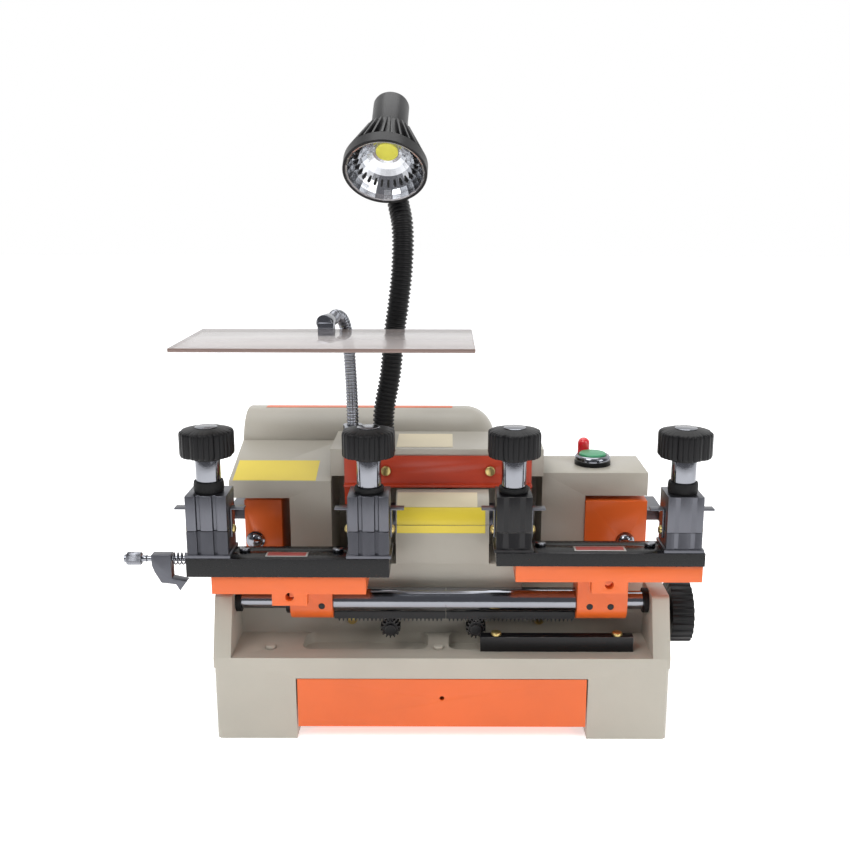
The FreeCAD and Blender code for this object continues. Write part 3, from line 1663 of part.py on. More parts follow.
def make_gauge_spring():
    """The small coil spring between the gauge block and the end of the table."""
    wire = size.gauge_spring_wire
    start = number(GAUGE_FACE) + wire + size.air_gap
    end = size.left_table_x - wire - size.air_gap
    turns = size.gauge_spring_turns
    rise = (end - start) / turns
    origin = Vector(start, number(GAUGE[0]), size.gauge_height)
    stations = [
        helix_station(quarter, size.gauge_spring_radius, rise, origin)
        for quarter in range(int(turns * QUARTERS) + 1)
    ]
    edges = []
    for (near, near_way), (far, far_way) in zip(stations, stations[1:]):
        edges += biarc_edges(near, near_way, far, far_way)
    path = Part.Wire(edges)
    section = Part.Wire([Part.Circle(stations[0][0], stations[0][1], wire).toShape()])
    turn = [point for point, _ in stations]
    gaps = [(far - near).Length for near, far in zip(turn, turn[QUARTERS:])]
    print("gauge spring, least gap between turns:", round(min(gaps) - 2 * wire, 2))
    return keep(free_form("gauge_spring", path.makePipeShell([section], True, False)))


# Push button and indicator lamp

HOOD_TOP = "right_hood_height"
BUTTON = ("button_x", "button_y")
BUTTON_RIM = "(right_hood_height + button_bezel_height)"
BUTTON_TOP = "(right_hood_height + button_bezel_height + button_ring_height)"


def make_button():
    """A round push button: black bezel, bright ring, switch body and a cap that travels."""
    bore = "button_cap_radius + air_gap"
    bezel = tube("button_bezel", "z", BUTTON, "button_bezel_radius", bore, (HOOD_TOP, BUTTON_RIM))
    ring = tube("button_ring", "z", BUTTON, "button_bezel_radius - 1", bore, (BUTTON_RIM, BUTTON_TOP))
    depth = ("right_hood_height - button_body_depth", HOOD_TOP)
    body = rod("switch_body", "z", BUTTON, "button_body_radius", depth)
    keep(group("button_mount", bezel, ring, body))
    low = "right_hood_height + button_travel + air_gap"
    keep(rod("button_cap", "z", BUTTON, "button_cap_radius", (low, f"{BUTTON_TOP} + button_cap_proud")))


def make_indicator():
    """The red dome of the indicator lamp."""
    centre = ("lamp_dot_x", "lamp_dot_y")
    rise = (HOOD_TOP, f"{HOOD_TOP} + lamp_dot_height - lamp_dot_radius")
    stem = rod("dome_stem", "z", centre, "lamp_dot_radius", rise)
    dome = doc.addObject("Part::Sphere", "dome_cap")
    dome.Angle1 = 0
    dome.setExpression("Radius", bound("lamp_dot_radius"))
    dome.setExpression("Placement.Base.x", bound(centre[0]))
    dome.setExpression("Placement.Base.y", bound(centre[1]))
    dome.setExpression("Placement.Base.z", bound(f"{HOOD_TOP} + lamp_dot_height - lamp_dot_radius"))
    return keep(fuse("indicator_lamp", stem, dome))


# Ribbed hose of the work lamp and ribbed neck of the chip shield

# Bends and ends are measured from the foot that each tube stands on.
HOSE_BEND = [(6, 1, 54), (9, 2, 84), (13, 3, 112), (16, 6, 142), (16, 10.5, 172)]
HOSE_END = (12, 17.8, 212)
NECK_BEND = [(-1, 1, 42), (-3, 1, 70), (-6, -3, 86), (-10, -13, 91)]
NECK_END = (-14, -32, 89)
NECK_END_WAY = Vector(-0.2, -0.98, 0).normalize()
FERRULE_TOP = "(shelf_height + ferrule_height)"
SHIELD = "(shelf_height + shield_rise)"
RIB_PROFILE = ((0.0, 0.0), (0.3, 0.0), (0.5, 1.0), (0.8, 1.0))


def stations_along(start, start_way, bend, end, end_way, stub, step):
    """Points and directions along a path that is straight for one stub at each end."""
    first = start + start_way * stub
    last = end - end_way * stub
    curve = Part.BSplineCurve()
    curve.interpolate([first] + bend + [last], InitialTangent=start_way, FinalTangent=end_way)
    whole = curve.length() + 2 * stub
    count = int(whole / step)
    stations = []
    for index in range(count + 1):
        distance = whole * index / count
        if distance <= stub:
            stations.append((start + start_way * distance, start_way))
        elif distance >= whole - stub:
            stations.append((end - end_way * (whole - distance), end_way))
        else:
            place = curve.parameterAtDistance(distance - stub)
            stations.append((curve.value(place), curve.tangent(place)[0]))
    return stations


def hoop(point, way, radius):
    """A circle square to a direction, its seam held towards +X."""
    circle = Part.Circle(point, way, radius)
    across = Vector(1, 0, 0) - way * way.x
    circle.XAxis = across.normalize()
    return Part.Wire([circle.toShape()])


def ribbed_tube(start, start_way, bend, end, end_way, radius, depth, pitch, bore):
    """A corrugated tube with a bore, lofted through four hoops a rib."""
    fine = stations_along(start, start_way, bend, end, end_way, 2 * radius, pitch / 10)
    ribs = int(len(fine) * pitch / 10 / pitch)
    hoops = []
    for rib in range(ribs):
        for share, groove in RIB_PROFILE:
            index = round((rib + share) / ribs * (len(fine) - 1))
            point, way = fine[index]
            hoops.append(hoop(point, way, radius - groove * depth))
    point, way = fine[-1]
    hoops.append(hoop(point, way, radius))
    outside = Part.makeLoft(hoops, True, True)
    inner = [hoop(point, way, bore) for point, way in fine[:: max(1, len(fine) // 40)]]
    inner.append(hoop(fine[-1][0], fine[-1][1], bore))
    print("ribs:", ribs)
    return outside.cut(Part.makeLoft(inner[:-2] + inner[-1:], True, True))


UP = Vector(0, 0, 1)


def hose_foot():
    """Where the lamp's hose stands on the shelf."""
    return Vector(size.hose_x, size.hose_y, size.shelf_height)


def neck_foot():
    """Where the shield's neck stands on its ferrule."""
    return Vector(size.neck_x, size.neck_y, number(FERRULE_TOP))


def make_hose():
    """The black corrugated hose that holds up the work lamp."""
    foot = hose_foot()
    shape = ribbed_tube(
        foot,
        UP,
        [foot + Vector(*step) for step in HOSE_BEND],
        foot + Vector(*HOSE_END),
        UP,
        size.hose_radius,
        size.hose_rib_depth,
        size.hose_rib_pitch,
        size.hose_bore,
    )
    return keep(free_form("lamp_hose", shape))


def make_neck():
    """The chromed flexible neck of the chip shield and the ferrule that it stands in."""
    keep(rod("shield_socket", "z", ("neck_x", "neck_y"), "ferrule_radius", ("shelf_height", FERRULE_TOP)))
    foot = neck_foot()
    shape = ribbed_tube(
        foot,
        UP,
        [foot + Vector(*step) for step in NECK_BEND],
        foot + Vector(*NECK_END),
        NECK_END_WAY,
        size.neck_radius,
        size.neck_rib_depth,
        size.neck_rib_pitch,
        size.neck_bore,
    )
    return keep(free_form("shield_neck", shape))


def make_shield():
    """The clear plate above the vises and the clip that holds it to its neck."""
    top = f"{SHIELD} + shield_thickness / 2"
    keep(
        block(
            "shield_plate",
            ("shield_left", "shield_left + shield_width"),
            ("-shield_front", "-shield_front + shield_depth"),
            (f"{SHIELD} - shield_thickness / 2", top),
        )
    )
    end = neck_foot() + Vector(*NECK_END)
    reach = size.shield_clip_radius
    barrel = Part.makeCylinder(reach / 2, reach, end + NECK_END_WAY * size.air_gap, NECK_END_WAY)
    gap = size.shield_clip_gap
    seat = Vector(end.x - reach / 2 - gap / 2, end.y - reach - gap, number(top))
    saddle = Part.makeBox(reach, reach, end.z - seat.z, seat)
    return keep(free_form("shield_clip", barrel.fuse(saddle).removeSplitter()))


# Work lamp head

LAMP_FROM_HOSE = Vector(-7.3, -46, 0)
LAMP_CONE_END = 44
LAMP_BOWL_DEPTH = 24
LAMP_BOWL_FLOOR = 10


def revolve(points):
    """A solid turned about +Z from a list of radius and height pairs."""
    outline = [Vector(radius, 0, height) for radius, height in points]
    return Part.Face(closed_wire(outline)).revolve(Vector(), Vector(0, 0, 1), 360)


def lamp_turn():
    """The turn that points +Z from the lamp's face to its back."""
    lean = Rotation(Vector(1, 0, 0), size.lamp_tilt - 90)
    return Rotation(Vector(0, 0, 1), -size.lamp_yaw).multiply(lean)


def make_lamp():
    """The finned lamp head with its holder, and the reflector and light inside it."""
    ring = size.lamp_ring_radius
    holder = size.lamp_body_radius
    lip = ring - size.lamp_wall
    head = revolve(
        [
            (0, LAMP_BOWL_DEPTH),
            (LAMP_BOWL_FLOOR, LAMP_BOWL_DEPTH),
            (lip, size.lamp_wall),
            (lip, 0),
            (ring, 0),
            (ring, size.lamp_ring_height),
            (holder + size.lamp_wall, LAMP_CONE_END),
            (holder, LAMP_CONE_END),
            (holder, size.lamp_body_length),
            (0, size.lamp_body_length),
        ]
    )
    gap = size.running_clearance
    bowl = revolve(
        [
            (LAMP_BOWL_FLOOR - gap, LAMP_BOWL_DEPTH - gap),
            (lip - gap, size.lamp_wall + gap),
            (lip - gap, 1),
            (lip - 1, 1),
            (LAMP_BOWL_FLOOR - 1, LAMP_BOWL_DEPTH - 1 - gap),
            (0, LAMP_BOWL_DEPTH - 1 - gap),
            (0, LAMP_BOWL_DEPTH - gap),
        ]
    )
    light = Part.makeCylinder(LAMP_BOWL_FLOOR - 2, 1.5, Vector(0, 0, LAMP_BOWL_DEPTH - 2.5 - gap))
    end = hose_foot() + Vector(*HOSE_END)
    face = end + LAMP_FROM_HOSE
    place = Placement(face, lamp_turn())
    for shape in (head, bowl, light):
        shape.Placement = place
    rise = (end.y - face.y) * math.tan(math.radians(size.lamp_tilt)) - size.air_gap
    stem = Part.makeCylinder(size.hose_radius, rise, end + UP * size.air_gap)
    keep(free_form("lamp_head", head.fuse(stem).removeSplitter()))
    keep(free_form("lamp_reflector", Part.makeCompound([bowl, light])))


def make_inlet():
    """The mains inlet in the rear wall: a flange, a body and three pins in an open socket."""
    half_x, half_z = "inlet_width / 2", "inlet_height / 2"
    flange = block(
        "inlet_flange",
        ("inlet_x - inlet_flange_width / 2", "inlet_x + inlet_flange_width / 2"),
        (REAR, f"{REAR} + inlet_flange_thickness"),
        ("inlet_z - inlet_flange_height / 2", "inlet_z + inlet_flange_height / 2"),
    )
    body = block(
        "inlet_body",
        (f"inlet_x - {half_x}", f"inlet_x + {half_x}"),
        (f"{REAR} - inlet_body_depth", REAR),
        (f"inlet_z - {half_z}", f"inlet_z + {half_z}"),
    )
    wall = "inlet_flange_thickness / 2"
    socket = block(
        "inlet_socket",
        (f"inlet_x - {half_x} + {wall}", f"inlet_x + {half_x} - {wall}"),
        (f"{REAR} - inlet_socket_depth", f"{REAR} + inlet_flange_thickness + 1"),
        (f"inlet_z - {half_z} + {wall}", f"inlet_z + {half_z} - {wall}"),
    )
    pins = [
        block(
            "inlet_pin",
            (f"inlet_x + {step} * inlet_width / 4 - 1", f"inlet_x + {step} * inlet_width / 4 + 1"),
            (f"{REAR} - inlet_socket_depth - 1", f"{REAR} - inlet_flange_thickness"),
            ("inlet_z - 2", "inlet_z + 2"),
        )
        for step in (-1, 0, 1)
    ]
    return keep(fuse("power_inlet", cut("inlet_shell", fuse("inlet_solid", flange, body), socket), *pins))


MAKERS = (
    make_base,
    make_fasteners,
    make_drawer,
    make_tool_bar,
    make_rail,
    make_sleeves,
    make_racks,
    make_pinions,
    make_cross_shaft,
    make_handwheel,
    make_spindle_housing,
    make_bearings,
    make_spindle,
    make_cutters,
    make_motor,
    make_belt,
    make_head_housing,
    make_motor_cover,
    make_guard,
    make_brackets,
    make_tracers,
    make_arms,
    make_tables,
    make_fixings,
    make_vises,
    make_gauge_block,
    make_gauge_screw,
    make_gauge_spring,
    make_button,
    make_indicator,
    make_hose,
    make_neck,
    make_shield,
    make_lamp,
    make_inlet,
)
for make in MAKERS:
    make()
doc.recompute()

failed = [item.Label for item in doc.Objects if {"Invalid", "Error"} & set(item.State)]
broken = [
    label
    for label, item in NODES.items()
    if item.Shape.isNull() or not item.Shape.isValid() or not item.Shape.Solids
]
if failed or broken:
    raise RuntimeError(f"failed objects: {failed}; broken shapes: {broken}")
os.makedirs("parts", exist_ok=True)
for label, item in NODES.items():
    item.Shape.exportStep(f"parts/{label}.step")
print(len(NODES), "sub-parts written")
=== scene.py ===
"""Looks of a bench key duplicating machine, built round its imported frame."""

import json
import logging
import math
from dataclasses import dataclass, field
from enum import Enum
from typing import Callable, Iterable, Sequence

import bpy
from mathutils import Matrix, Vector


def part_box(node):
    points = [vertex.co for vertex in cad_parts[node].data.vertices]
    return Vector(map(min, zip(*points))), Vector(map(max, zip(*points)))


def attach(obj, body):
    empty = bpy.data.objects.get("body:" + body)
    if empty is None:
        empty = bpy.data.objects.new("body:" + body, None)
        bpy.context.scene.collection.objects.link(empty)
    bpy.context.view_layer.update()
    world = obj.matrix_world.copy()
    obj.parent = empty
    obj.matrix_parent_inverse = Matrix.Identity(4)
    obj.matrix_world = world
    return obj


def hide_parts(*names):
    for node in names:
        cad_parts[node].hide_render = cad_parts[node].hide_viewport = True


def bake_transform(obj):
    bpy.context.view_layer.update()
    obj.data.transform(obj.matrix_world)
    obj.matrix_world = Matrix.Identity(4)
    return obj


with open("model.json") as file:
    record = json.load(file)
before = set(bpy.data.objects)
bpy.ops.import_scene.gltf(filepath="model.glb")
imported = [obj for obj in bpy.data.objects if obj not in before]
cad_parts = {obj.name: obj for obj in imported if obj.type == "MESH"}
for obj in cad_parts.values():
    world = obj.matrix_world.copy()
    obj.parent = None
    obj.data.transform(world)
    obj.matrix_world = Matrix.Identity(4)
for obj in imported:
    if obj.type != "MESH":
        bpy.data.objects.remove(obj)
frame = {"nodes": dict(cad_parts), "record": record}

LOG = logging.getLogger("key_machine")
MM = 0.001
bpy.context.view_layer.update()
MERGE_GAP = 0.01 * MM
FILM_LEAN = 0.25
FILM_THICKNESS = 0.25 * MM
# Share of a rib's pitch and share of its depth, from the crest to the valley and up again.
RIB_SHAPE = ((0.0, 0.0), (0.3, 0.0), (0.42, 0.7), (0.55, 1.0), (0.75, 1.0), (0.88, 0.7))
# Where the ramps of the tone drift, the worn edge and the scuffed patches start and end.
DRIFT_STOPS = (0.3, 0.7)
EDGE_STOPS = (0.8, 0.97)
SCUFF_STOPS = (0.4, 0.62)
# Shares of a finish's roughness that its grain varies between, and the smoothest that it gets.
ROUGH_SHARES = (0.85, 1.18)
SMOOTHEST = 0.02
Point = tuple[float, float, float]
Profile = Sequence[tuple[float, float]]


class Axis(Enum):
    """Directions that turned and straight pieces run along."""

    RIGHT = (1.0, 0.0, 0.0)
    BACK = (0.0, 1.0, 0.0)
    FRONT = (0.0, -1.0, 0.0)
    UP = (0.0, 0.0, 1.0)

    @property
    def way(self) -> Vector:
        """The direction as a vector."""
        return Vector(self.value)


# Colour and node helpers


def linear(code: str, alpha: float = 1.0) -> tuple[float, float, float, float]:
    """Turn an sRGB hex colour into linear values.

    Args:
        code: Six hex digits after a hash sign.
        alpha: Opacity of the colour.

    Returns:
        Linear red, green and blue, and the alpha.
    """
    parts = [int(code[place:place + 2], 16) / 255 for place in (1, 3, 5)]
    values = [part / 12.92 if part <= 0.04045 else ((part + 0.055) / 1.055) ** 2.4 for part in parts]
    return (values[0], values[1], values[2], alpha)


def add_node(
    tree: bpy.types.NodeTree, kind: str, inputs: dict | None = None, **settings: object
) -> bpy.types.Node:
    """Add a shader node with its settings, values and links.

    Args:
        tree: The material's node tree.
        kind: The node's type name.
        inputs: Values for its inputs by name or index; an output socket is linked instead.
        settings: Properties of the node, set before its inputs.

    Returns:
        The new node.
    """
    node = tree.nodes.new(kind)
    for name, value in settings.items():
        setattr(node, name, value)
    for name, value in (inputs or {}).items():
        if isinstance(value, bpy.types.NodeSocket):
            tree.links.new(value, node.inputs[name])
        else:
            node.inputs[name].default_value = value
    return node


def noise_node(
    tree: bpy.types.NodeTree, place: bpy.types.NodeSocket, size: float, detail: float
) -> bpy.types.Node:
    """Add a noise whose spots have a real size.

    Args:
        tree: The material's node tree.
        place: Coordinates in metres.
        size: Size of the spots in metres.
        detail: How many finer layers it has.

    Returns:
        The new node.
    """
    return add_node(tree, "ShaderNodeTexNoise", {"Vector": place, "Scale": 1 / size, "Detail": detail})


def set_ramp(node: bpy.types.Node, stops: Sequence[tuple[float, tuple]]) -> bpy.types.Node:
    """Give a colour ramp its stops.

    Args:
        node: A colour ramp node.
        stops: Places from 0 to 1, each with a linear colour.

    Returns:
        The same node.
    """
    ramp = node.color_ramp
    ramp.elements[0].position, ramp.elements[0].color = stops[0]
    ramp.elements[1].position, ramp.elements[1].color = stops[-1]
    for place, colour in stops[1:-1]:
        ramp.elements.new(place).color = colour
    return node


def new_material(name: str) -> tuple[bpy.types.Material, bpy.types.NodeTree, bpy.types.Node]:
    """Start a material.

    Args:
        name: The finish's name.

    Returns:
        The material, its node tree and its main shader.
    """
    material = bpy.data.materials.new(name)
    material.use_nodes = True
    tree = material.node_tree
    shader = next(node for node in tree.nodes if node.type == "BSDF_PRINCIPLED")
    return material, tree, shader


# Finishes


@dataclass(frozen=True)
class Finish:
    """What every finish shares: a name, a colour and how rough it is.

    The tone noise drifts slowly over the surface, the grain is fine enough to break highlights.
    """

    name: str
    colour: str
    roughness: float = 0.45
    metallic: float = 0.0
    drift: float = 0.06
    drift_size: float = 45 * MM
    grain_size: float = 1.2 * MM
    grain_height: float = 0.04
    wear_colour: str = "#8A857C"
    wear: float = 0.0
    edge_round: float = 0.6 * MM
    scuff_size: float = 9 * MM
    coat: float = 0.0
    specular: float = 0.5
    stretch: Point = (1.0, 1.0, 1.0)

    def material(self) -> bpy.types.Material:
        """The finish as a Blender material, made once."""
        made = bpy.data.materials.get(self.name)
        if made:
            return made
        material, tree, shader = new_material(self.name)
        place = add_node(tree, "ShaderNodeTexCoord").outputs["Object"]
        stretched = add_node(tree, "ShaderNodeMapping", {"Vector": place, "Scale": self.stretch})
        self.colour_nodes(tree, shader, place)
        self.surface_nodes(tree, shader, stretched.outputs["Vector"])
        shader.inputs["Metallic"].default_value = self.metallic
        shader.inputs["Coat Weight"].default_value = self.coat
        shader.inputs["Specular IOR Level"].default_value = self.specular
        return material

    def colour_nodes(
        self, tree: bpy.types.NodeTree, shader: bpy.types.Node, place: bpy.types.NodeSocket
    ) -> None:
        """Colour with a slow drift, and wear on the edges where the finish has any.

        Args:
            tree: The material's node tree.
            shader: The main shader.
            place: Plain object coordinates.
        """
        base = linear(self.colour)
        noise = noise_node(tree, place, self.drift_size, detail=4.0)
        low = tuple(channel * (1 - self.drift) for channel in base[:3]) + (1.0,)
        high = tuple(min(1.0, channel * (1 + self.drift)) for channel in base[:3]) + (1.0,)
        ramp = set_ramp(
            add_node(tree, "ShaderNodeValToRGB", {"Fac": noise.outputs["Fac"]}),
            list(zip(DRIFT_STOPS, (low, high))),
        )
        colour = ramp.outputs["Color"]
        if self.wear > 0:
            colour = self.worn(tree, colour, place)
        tree.links.new(colour, shader.inputs["Base Color"])

    def worn(
        self, tree: bpy.types.NodeTree, colour: bpy.types.NodeSocket, place: bpy.types.NodeSocket
    ) -> bpy.types.NodeSocket:
        """Mix the wear colour in along the edges, in patches.

        Args:
            tree: The material's node tree.
            colour: The unworn colour.
            place: Plain object coordinates.

        Returns:
            The worn colour.
        """
        geometry = add_node(tree, "ShaderNodeNewGeometry")
        rounded = add_node(tree, "ShaderNodeBevel", {"Radius": self.edge_round}, samples=6)
        turn = add_node(
            tree,
            "ShaderNodeVectorMath",
            {0: rounded.outputs["Normal"], 1: geometry.outputs["True Normal"]},
            operation="DOT_PRODUCT",
        )
        scuff = noise_node(tree, place, self.scuff_size, detail=6.0)
        edge = set_ramp(
            add_node(tree, "ShaderNodeValToRGB", {"Fac": turn.outputs["Value"]}),
            list(zip(EDGE_STOPS, ((1, 1, 1, 1), (0, 0, 0, 1)))),
        )
        patch = set_ramp(
            add_node(tree, "ShaderNodeValToRGB", {"Fac": scuff.outputs["Fac"]}),
            list(zip(SCUFF_STOPS, ((0, 0, 0, 1), (self.wear, self.wear, self.wear, 1)))),
        )
        amount = add_node(
            tree,
            "ShaderNodeMath",
            {0: edge.outputs["Color"], 1: patch.outputs["Color"]},
            operation="MULTIPLY",
        )
        mix = add_node(
            tree,
            "ShaderNodeMix",
            {"Factor": amount.outputs[0], 6: colour, 7: linear(self.wear_colour)},
            data_type="RGBA",
        )
        return mix.outputs[2]

    def surface_nodes(
        self, tree: bpy.types.NodeTree, shader: bpy.types.Node, pattern: bpy.types.NodeSocket
    ) -> None:
        """Roughness that varies a little, and a fine grain in the surface.

        Args:
            tree: The material's node tree.
            shader: The main shader.
            pattern: Stretched object coordinates.
        """
        grain = noise_node(tree, pattern, self.grain_size, detail=3.0)
        least, most = (self.roughness * share for share in ROUGH_SHARES)
        span = add_node(
            tree,
            "ShaderNodeMapRange",
            {"Value": grain.outputs["Fac"], "To Min": max(SMOOTHEST, least), "To Max": min(1.0, most)},
        )
        tree.links.new(span.outputs["Result"], shader.inputs["Roughness"])
        bump = add_node(
            tree,
            "ShaderNodeBump",
            {"Height": grain.outputs["Fac"], "Strength": self.grain_height, "Distance": self.grain_size},
        )
        tree.links.new(bump.outputs["Normal"], shader.inputs["Normal"])


@dataclass(frozen=True)
class Acrylic(Finish):
    """Cast acrylic sheet, cut and polished: clear and slightly grey."""

    cloud_size: float = 60 * MM
    least_rough: float = 0.04
    most_rough: float = 0.1
    refraction: float = 1.49
    opacity: float = 0.7

    def material(self) -> bpy.types.Material:
        """The clear sheet as a material."""
        made = bpy.data.materials.get(self.name)
        if made:
            return made
        material, tree, shader = new_material(self.name)
        place = add_node(tree, "ShaderNodeTexCoord").outputs["Object"]
        noise = noise_node(tree, place, self.cloud_size, detail=2.0)
        span = add_node(
            tree,
            "ShaderNodeMapRange",
            {"Value": noise.outputs["Fac"], "To Min": self.least_rough, "To Max": self.most_rough},
        )
        tree.links.new(span.outputs["Result"], shader.inputs["Roughness"])
        shader.inputs["Base Color"].default_value = linear(self.colour)
        shader.inputs["IOR"].default_value = self.refraction
        shader.inputs["Alpha"].default_value = self.opacity
        return material


@dataclass(frozen=True)
class Glow(Finish):
    """A matt finish that is a little self-lit."""

    strength: float = 0.25

    def material(self) -> bpy.types.Material:
        """The self-lit finish as a material."""
        material = Finish.material(self)
        shader = next(node for node in material.node_tree.nodes if node.type == "BSDF_PRINCIPLED")
        shader.inputs["Emission Color"].default_value = linear(self.colour)
        shader.inputs["Emission Strength"].default_value = self.strength
        return material


# Enamel on castings is sprayed and baked: a soft gloss over a faint orange peel.
BEIGE = Finish(
    "baked beige enamel", "#ABA69A", 0.4, drift=0.04, grain_size=1.6 * MM, grain_height=0.05, coat=0.1
)
# Powder coat on bent sheet and castings: even, smooth, low gloss.
ORANGE = Finish(
    "orange powder coat", "#DA6120", 0.4, drift=0.05, grain_size=1.1 * MM, grain_height=0.05, coat=0.12
)
# The cutter guard's copy of the orange powder coat is redder, and darker too: the darkening is painted shade
# on the guard.
GUARD_ORANGE_PAINTED_SHADE = Finish("orange powder coat with painted shade", "#B5391A", 0.42, drift=0.06, grain_size=1.1 * MM, coat=0.1)
# Ground and blackened steel: near black, a satin sheen and pale worn edges.
TABLE_BLACK = Finish(
    "blackened table steel", "#050507", 0.26, wear=0.6, wear_colour="#5F5C62", drift=0.12, specular=0.3
)
DARK_STEEL = Finish(
    "blued vise steel", "#0C0B0E", 0.36, wear=0.85, wear_colour="#807C79", drift=0.15, specular=0.35
)
# Ground tool steel: fine parallel scratches from the wheel.
GROUND_STEEL = Finish(
    "ground tool steel",
    "#5F6066",
    0.3,
    0.92,
    drift=0.1,
    grain_size=0.9 * MM,
    grain_height=0.12,
    stretch=(1, 1, 9),
)
REFLECTOR = Finish("vacuum metallised reflector", "#C9CBCF", 0.16, 1.0, drift=0.05, grain_height=0.02)
CHROME = Finish("polished chrome plate", "#8A8C92", 0.14, 1.0, drift=0.04, grain_height=0.02)
BRASS = Finish("yellow zinc plate", "#C2AE72", 0.3, 0.9, drift=0.12)
KNOB_BLACK = Finish("moulded phenolic", "#0C0C0E", 0.4, drift=0.1, grain_height=0.05, specular=0.25)
RUBBER = Finish("black rubber", "#0B0B0C", 0.6, drift=0.1, grain_height=0.08, specular=0.3)
HOSE_BLACK = Finish("extruded black vinyl", "#0A0A0B", 0.45, drift=0.1, grain_height=0.05, specular=0.35)
LAMP_BLACK = Finish("black anodised aluminium", "#0E0E10", 0.38, drift=0.08, grain_height=0.06)
GREEN = Finish("green moulded cap", "#3F9468", 0.35, drift=0.05)
RED = Finish("red moulded lens", "#D81F2A", 0.18, drift=0.05, coat=0.5)
LED = Glow("yellow light chip", "#C9C34A", 0.5)
YELLOW_FILM = Finish("yellow printed film", "#E3CC3E", 0.35, drift=0.03, grain_height=0.01)
CREAM_FILM = Finish("cream printed film", "#D9CDAE", 0.4, drift=0.03, grain_height=0.01)
RED_PLATE = Finish("red label plate", "#8E2A22", 0.4, drift=0.1)
SILVER_PLATE = Finish("bare aluminium label", "#B4B2AE", 0.35, 0.8, drift=0.08)
CLEAR = Acrylic("clear cast acrylic", "#B9B2B0")
EDGE = Finish("tinted acrylic edge", "#7A665F", 0.25, drift=0.08)
FLOOR = Glow("pale studio floor", "#FFFFFF", 0.8, drift=0.0, grain_height=0.0, strength=0.55)


# Modelling helpers


def clear_selection() -> None:
    """Leave edit mode and deselect everything."""
    if bpy.context.object and bpy.context.object.mode != "OBJECT":
        bpy.ops.object.mode_set(mode="OBJECT")
    bpy.ops.object.select_all(action="DESELECT")


def activate(piece: bpy.types.Object) -> None:
    """Make one piece the only selected and active object."""
    clear_selection()
    piece.select_set(True)
    bpy.context.view_layer.objects.active = piece


def settle(piece: bpy.types.Object, name: str) -> bpy.types.Object:
    """Name a piece and move its place, turn and scale into its mesh.

    Args:
        piece: The new object.
        name: The piece's name.

    Returns:
        The same object.
    """
    piece.name = name
    activate(piece)
    bpy.ops.object.transform_apply(location=True, rotation=True, scale=True)
    return piece


def tidy_mesh(piece: bpy.types.Object, flat_angle: float = 0.0) -> None:
    """Merge doubles, dissolve flat edges and point the faces outwards.

    Args:
        piece: The object to clean.
        flat_angle: Edges flatter than this many degrees go; 0 keeps them all.
    """
    activate(piece)
    bpy.ops.object.mode_set(mode="EDIT")
    bpy.ops.mesh.select_all(action="SELECT")
    bpy.ops.mesh.remove_doubles(threshold=MERGE_GAP)
    if flat_angle:
        bpy.ops.mesh.dissolve_limited(angle_limit=math.radians(flat_angle))
    bpy.ops.mesh.normals_make_consistent(inside=False)
    bpy.ops.object.mode_set(mode="OBJECT")


def apply_modifier(piece: bpy.types.Object, kind: str, **settings: object) -> None:
    """Add a modifier with its settings and apply it.

    Args:
        piece: The object that it shapes.
        kind: The modifier's type name.
        settings: Properties of the modifier.
    """
    activate(piece)
    modifier = piece.modifiers.new(kind.lower(), kind)
    for name, value in settings.items():
        setattr(modifier, name, value)
    bpy.ops.object.modifier_apply(modifier=modifier.name)


def smooth(piece: bpy.types.Object, angle: float = 35.0) -> bpy.types.Object:
    """Shade a piece smooth across edges flatter than an angle.

    Args:
        piece: The object to shade.
        angle: The limit in degrees.

    Returns:
        The same object.
    """
    activate(piece)
    bpy.ops.object.shade_smooth_by_angle(angle=math.radians(angle))
    return piece


def soften(piece: bpy.types.Object, width: float, segments: int = 2, angle: float = 40.0) -> bpy.types.Object:
    """Round a piece's sharp edges.

    Args:
        piece: The object to round.
        width: The bevel's width in metres.
        segments: Faces across each bevel.
        angle: Edges sharper than this many degrees are rounded.

    Returns:
        The same object.
    """
    apply_modifier(
        piece,
        "BEVEL",
        width=width,
        segments=segments,
        limit_method="ANGLE",
        angle_limit=math.radians(angle),
        use_clamp_overlap=True,
        miter_outer="MITER_ARC",
    )
    return smooth(piece)


def add_block(name: str, low: Point, high: Point, round_edge: float = 0.0) -> bpy.types.Object:
    """A block between two corners, with rounded edges.

    Args:
        name: The piece's name.
        low: Lowest corner in metres.
        high: Highest corner in metres.
        round_edge: Width of the rounding; 0 leaves the edges sharp.

    Returns:
        The new object.
    """
    clear_selection()
    start, end = Vector(low), Vector(high)
    bpy.ops.mesh.primitive_cube_add(size=1, location=(start + end) / 2)
    piece = bpy.context.object
    piece.scale = end - start
    settle(piece, name)
    return soften(piece, round_edge) if round_edge else piece


def add_rod(
    name: str, start: Vector, end: Vector, radius: float, sides: int = 48, edge: float = 0.0
) -> bpy.types.Object:
    """A round bar between two points.

    Args:
        name: The piece's name.
        start: One end of the axis.
        end: The other end.
        radius: The bar's radius.
        sides: Faces round it.
        edge: Width of the rounding of its ends.

    Returns:
        The new object.
    """
    clear_selection()
    line = Vector(end) - Vector(start)
    turn = Axis.UP.way.rotation_difference(line)
    bpy.ops.mesh.primitive_cylinder_add(
        vertices=sides,
        radius=radius,
        depth=line.length,
        location=(Vector(start) + Vector(end)) / 2,
        rotation=turn.to_euler(),
    )
    piece = settle(bpy.context.object, name)
    return soften(piece, edge) if edge else smooth(piece)


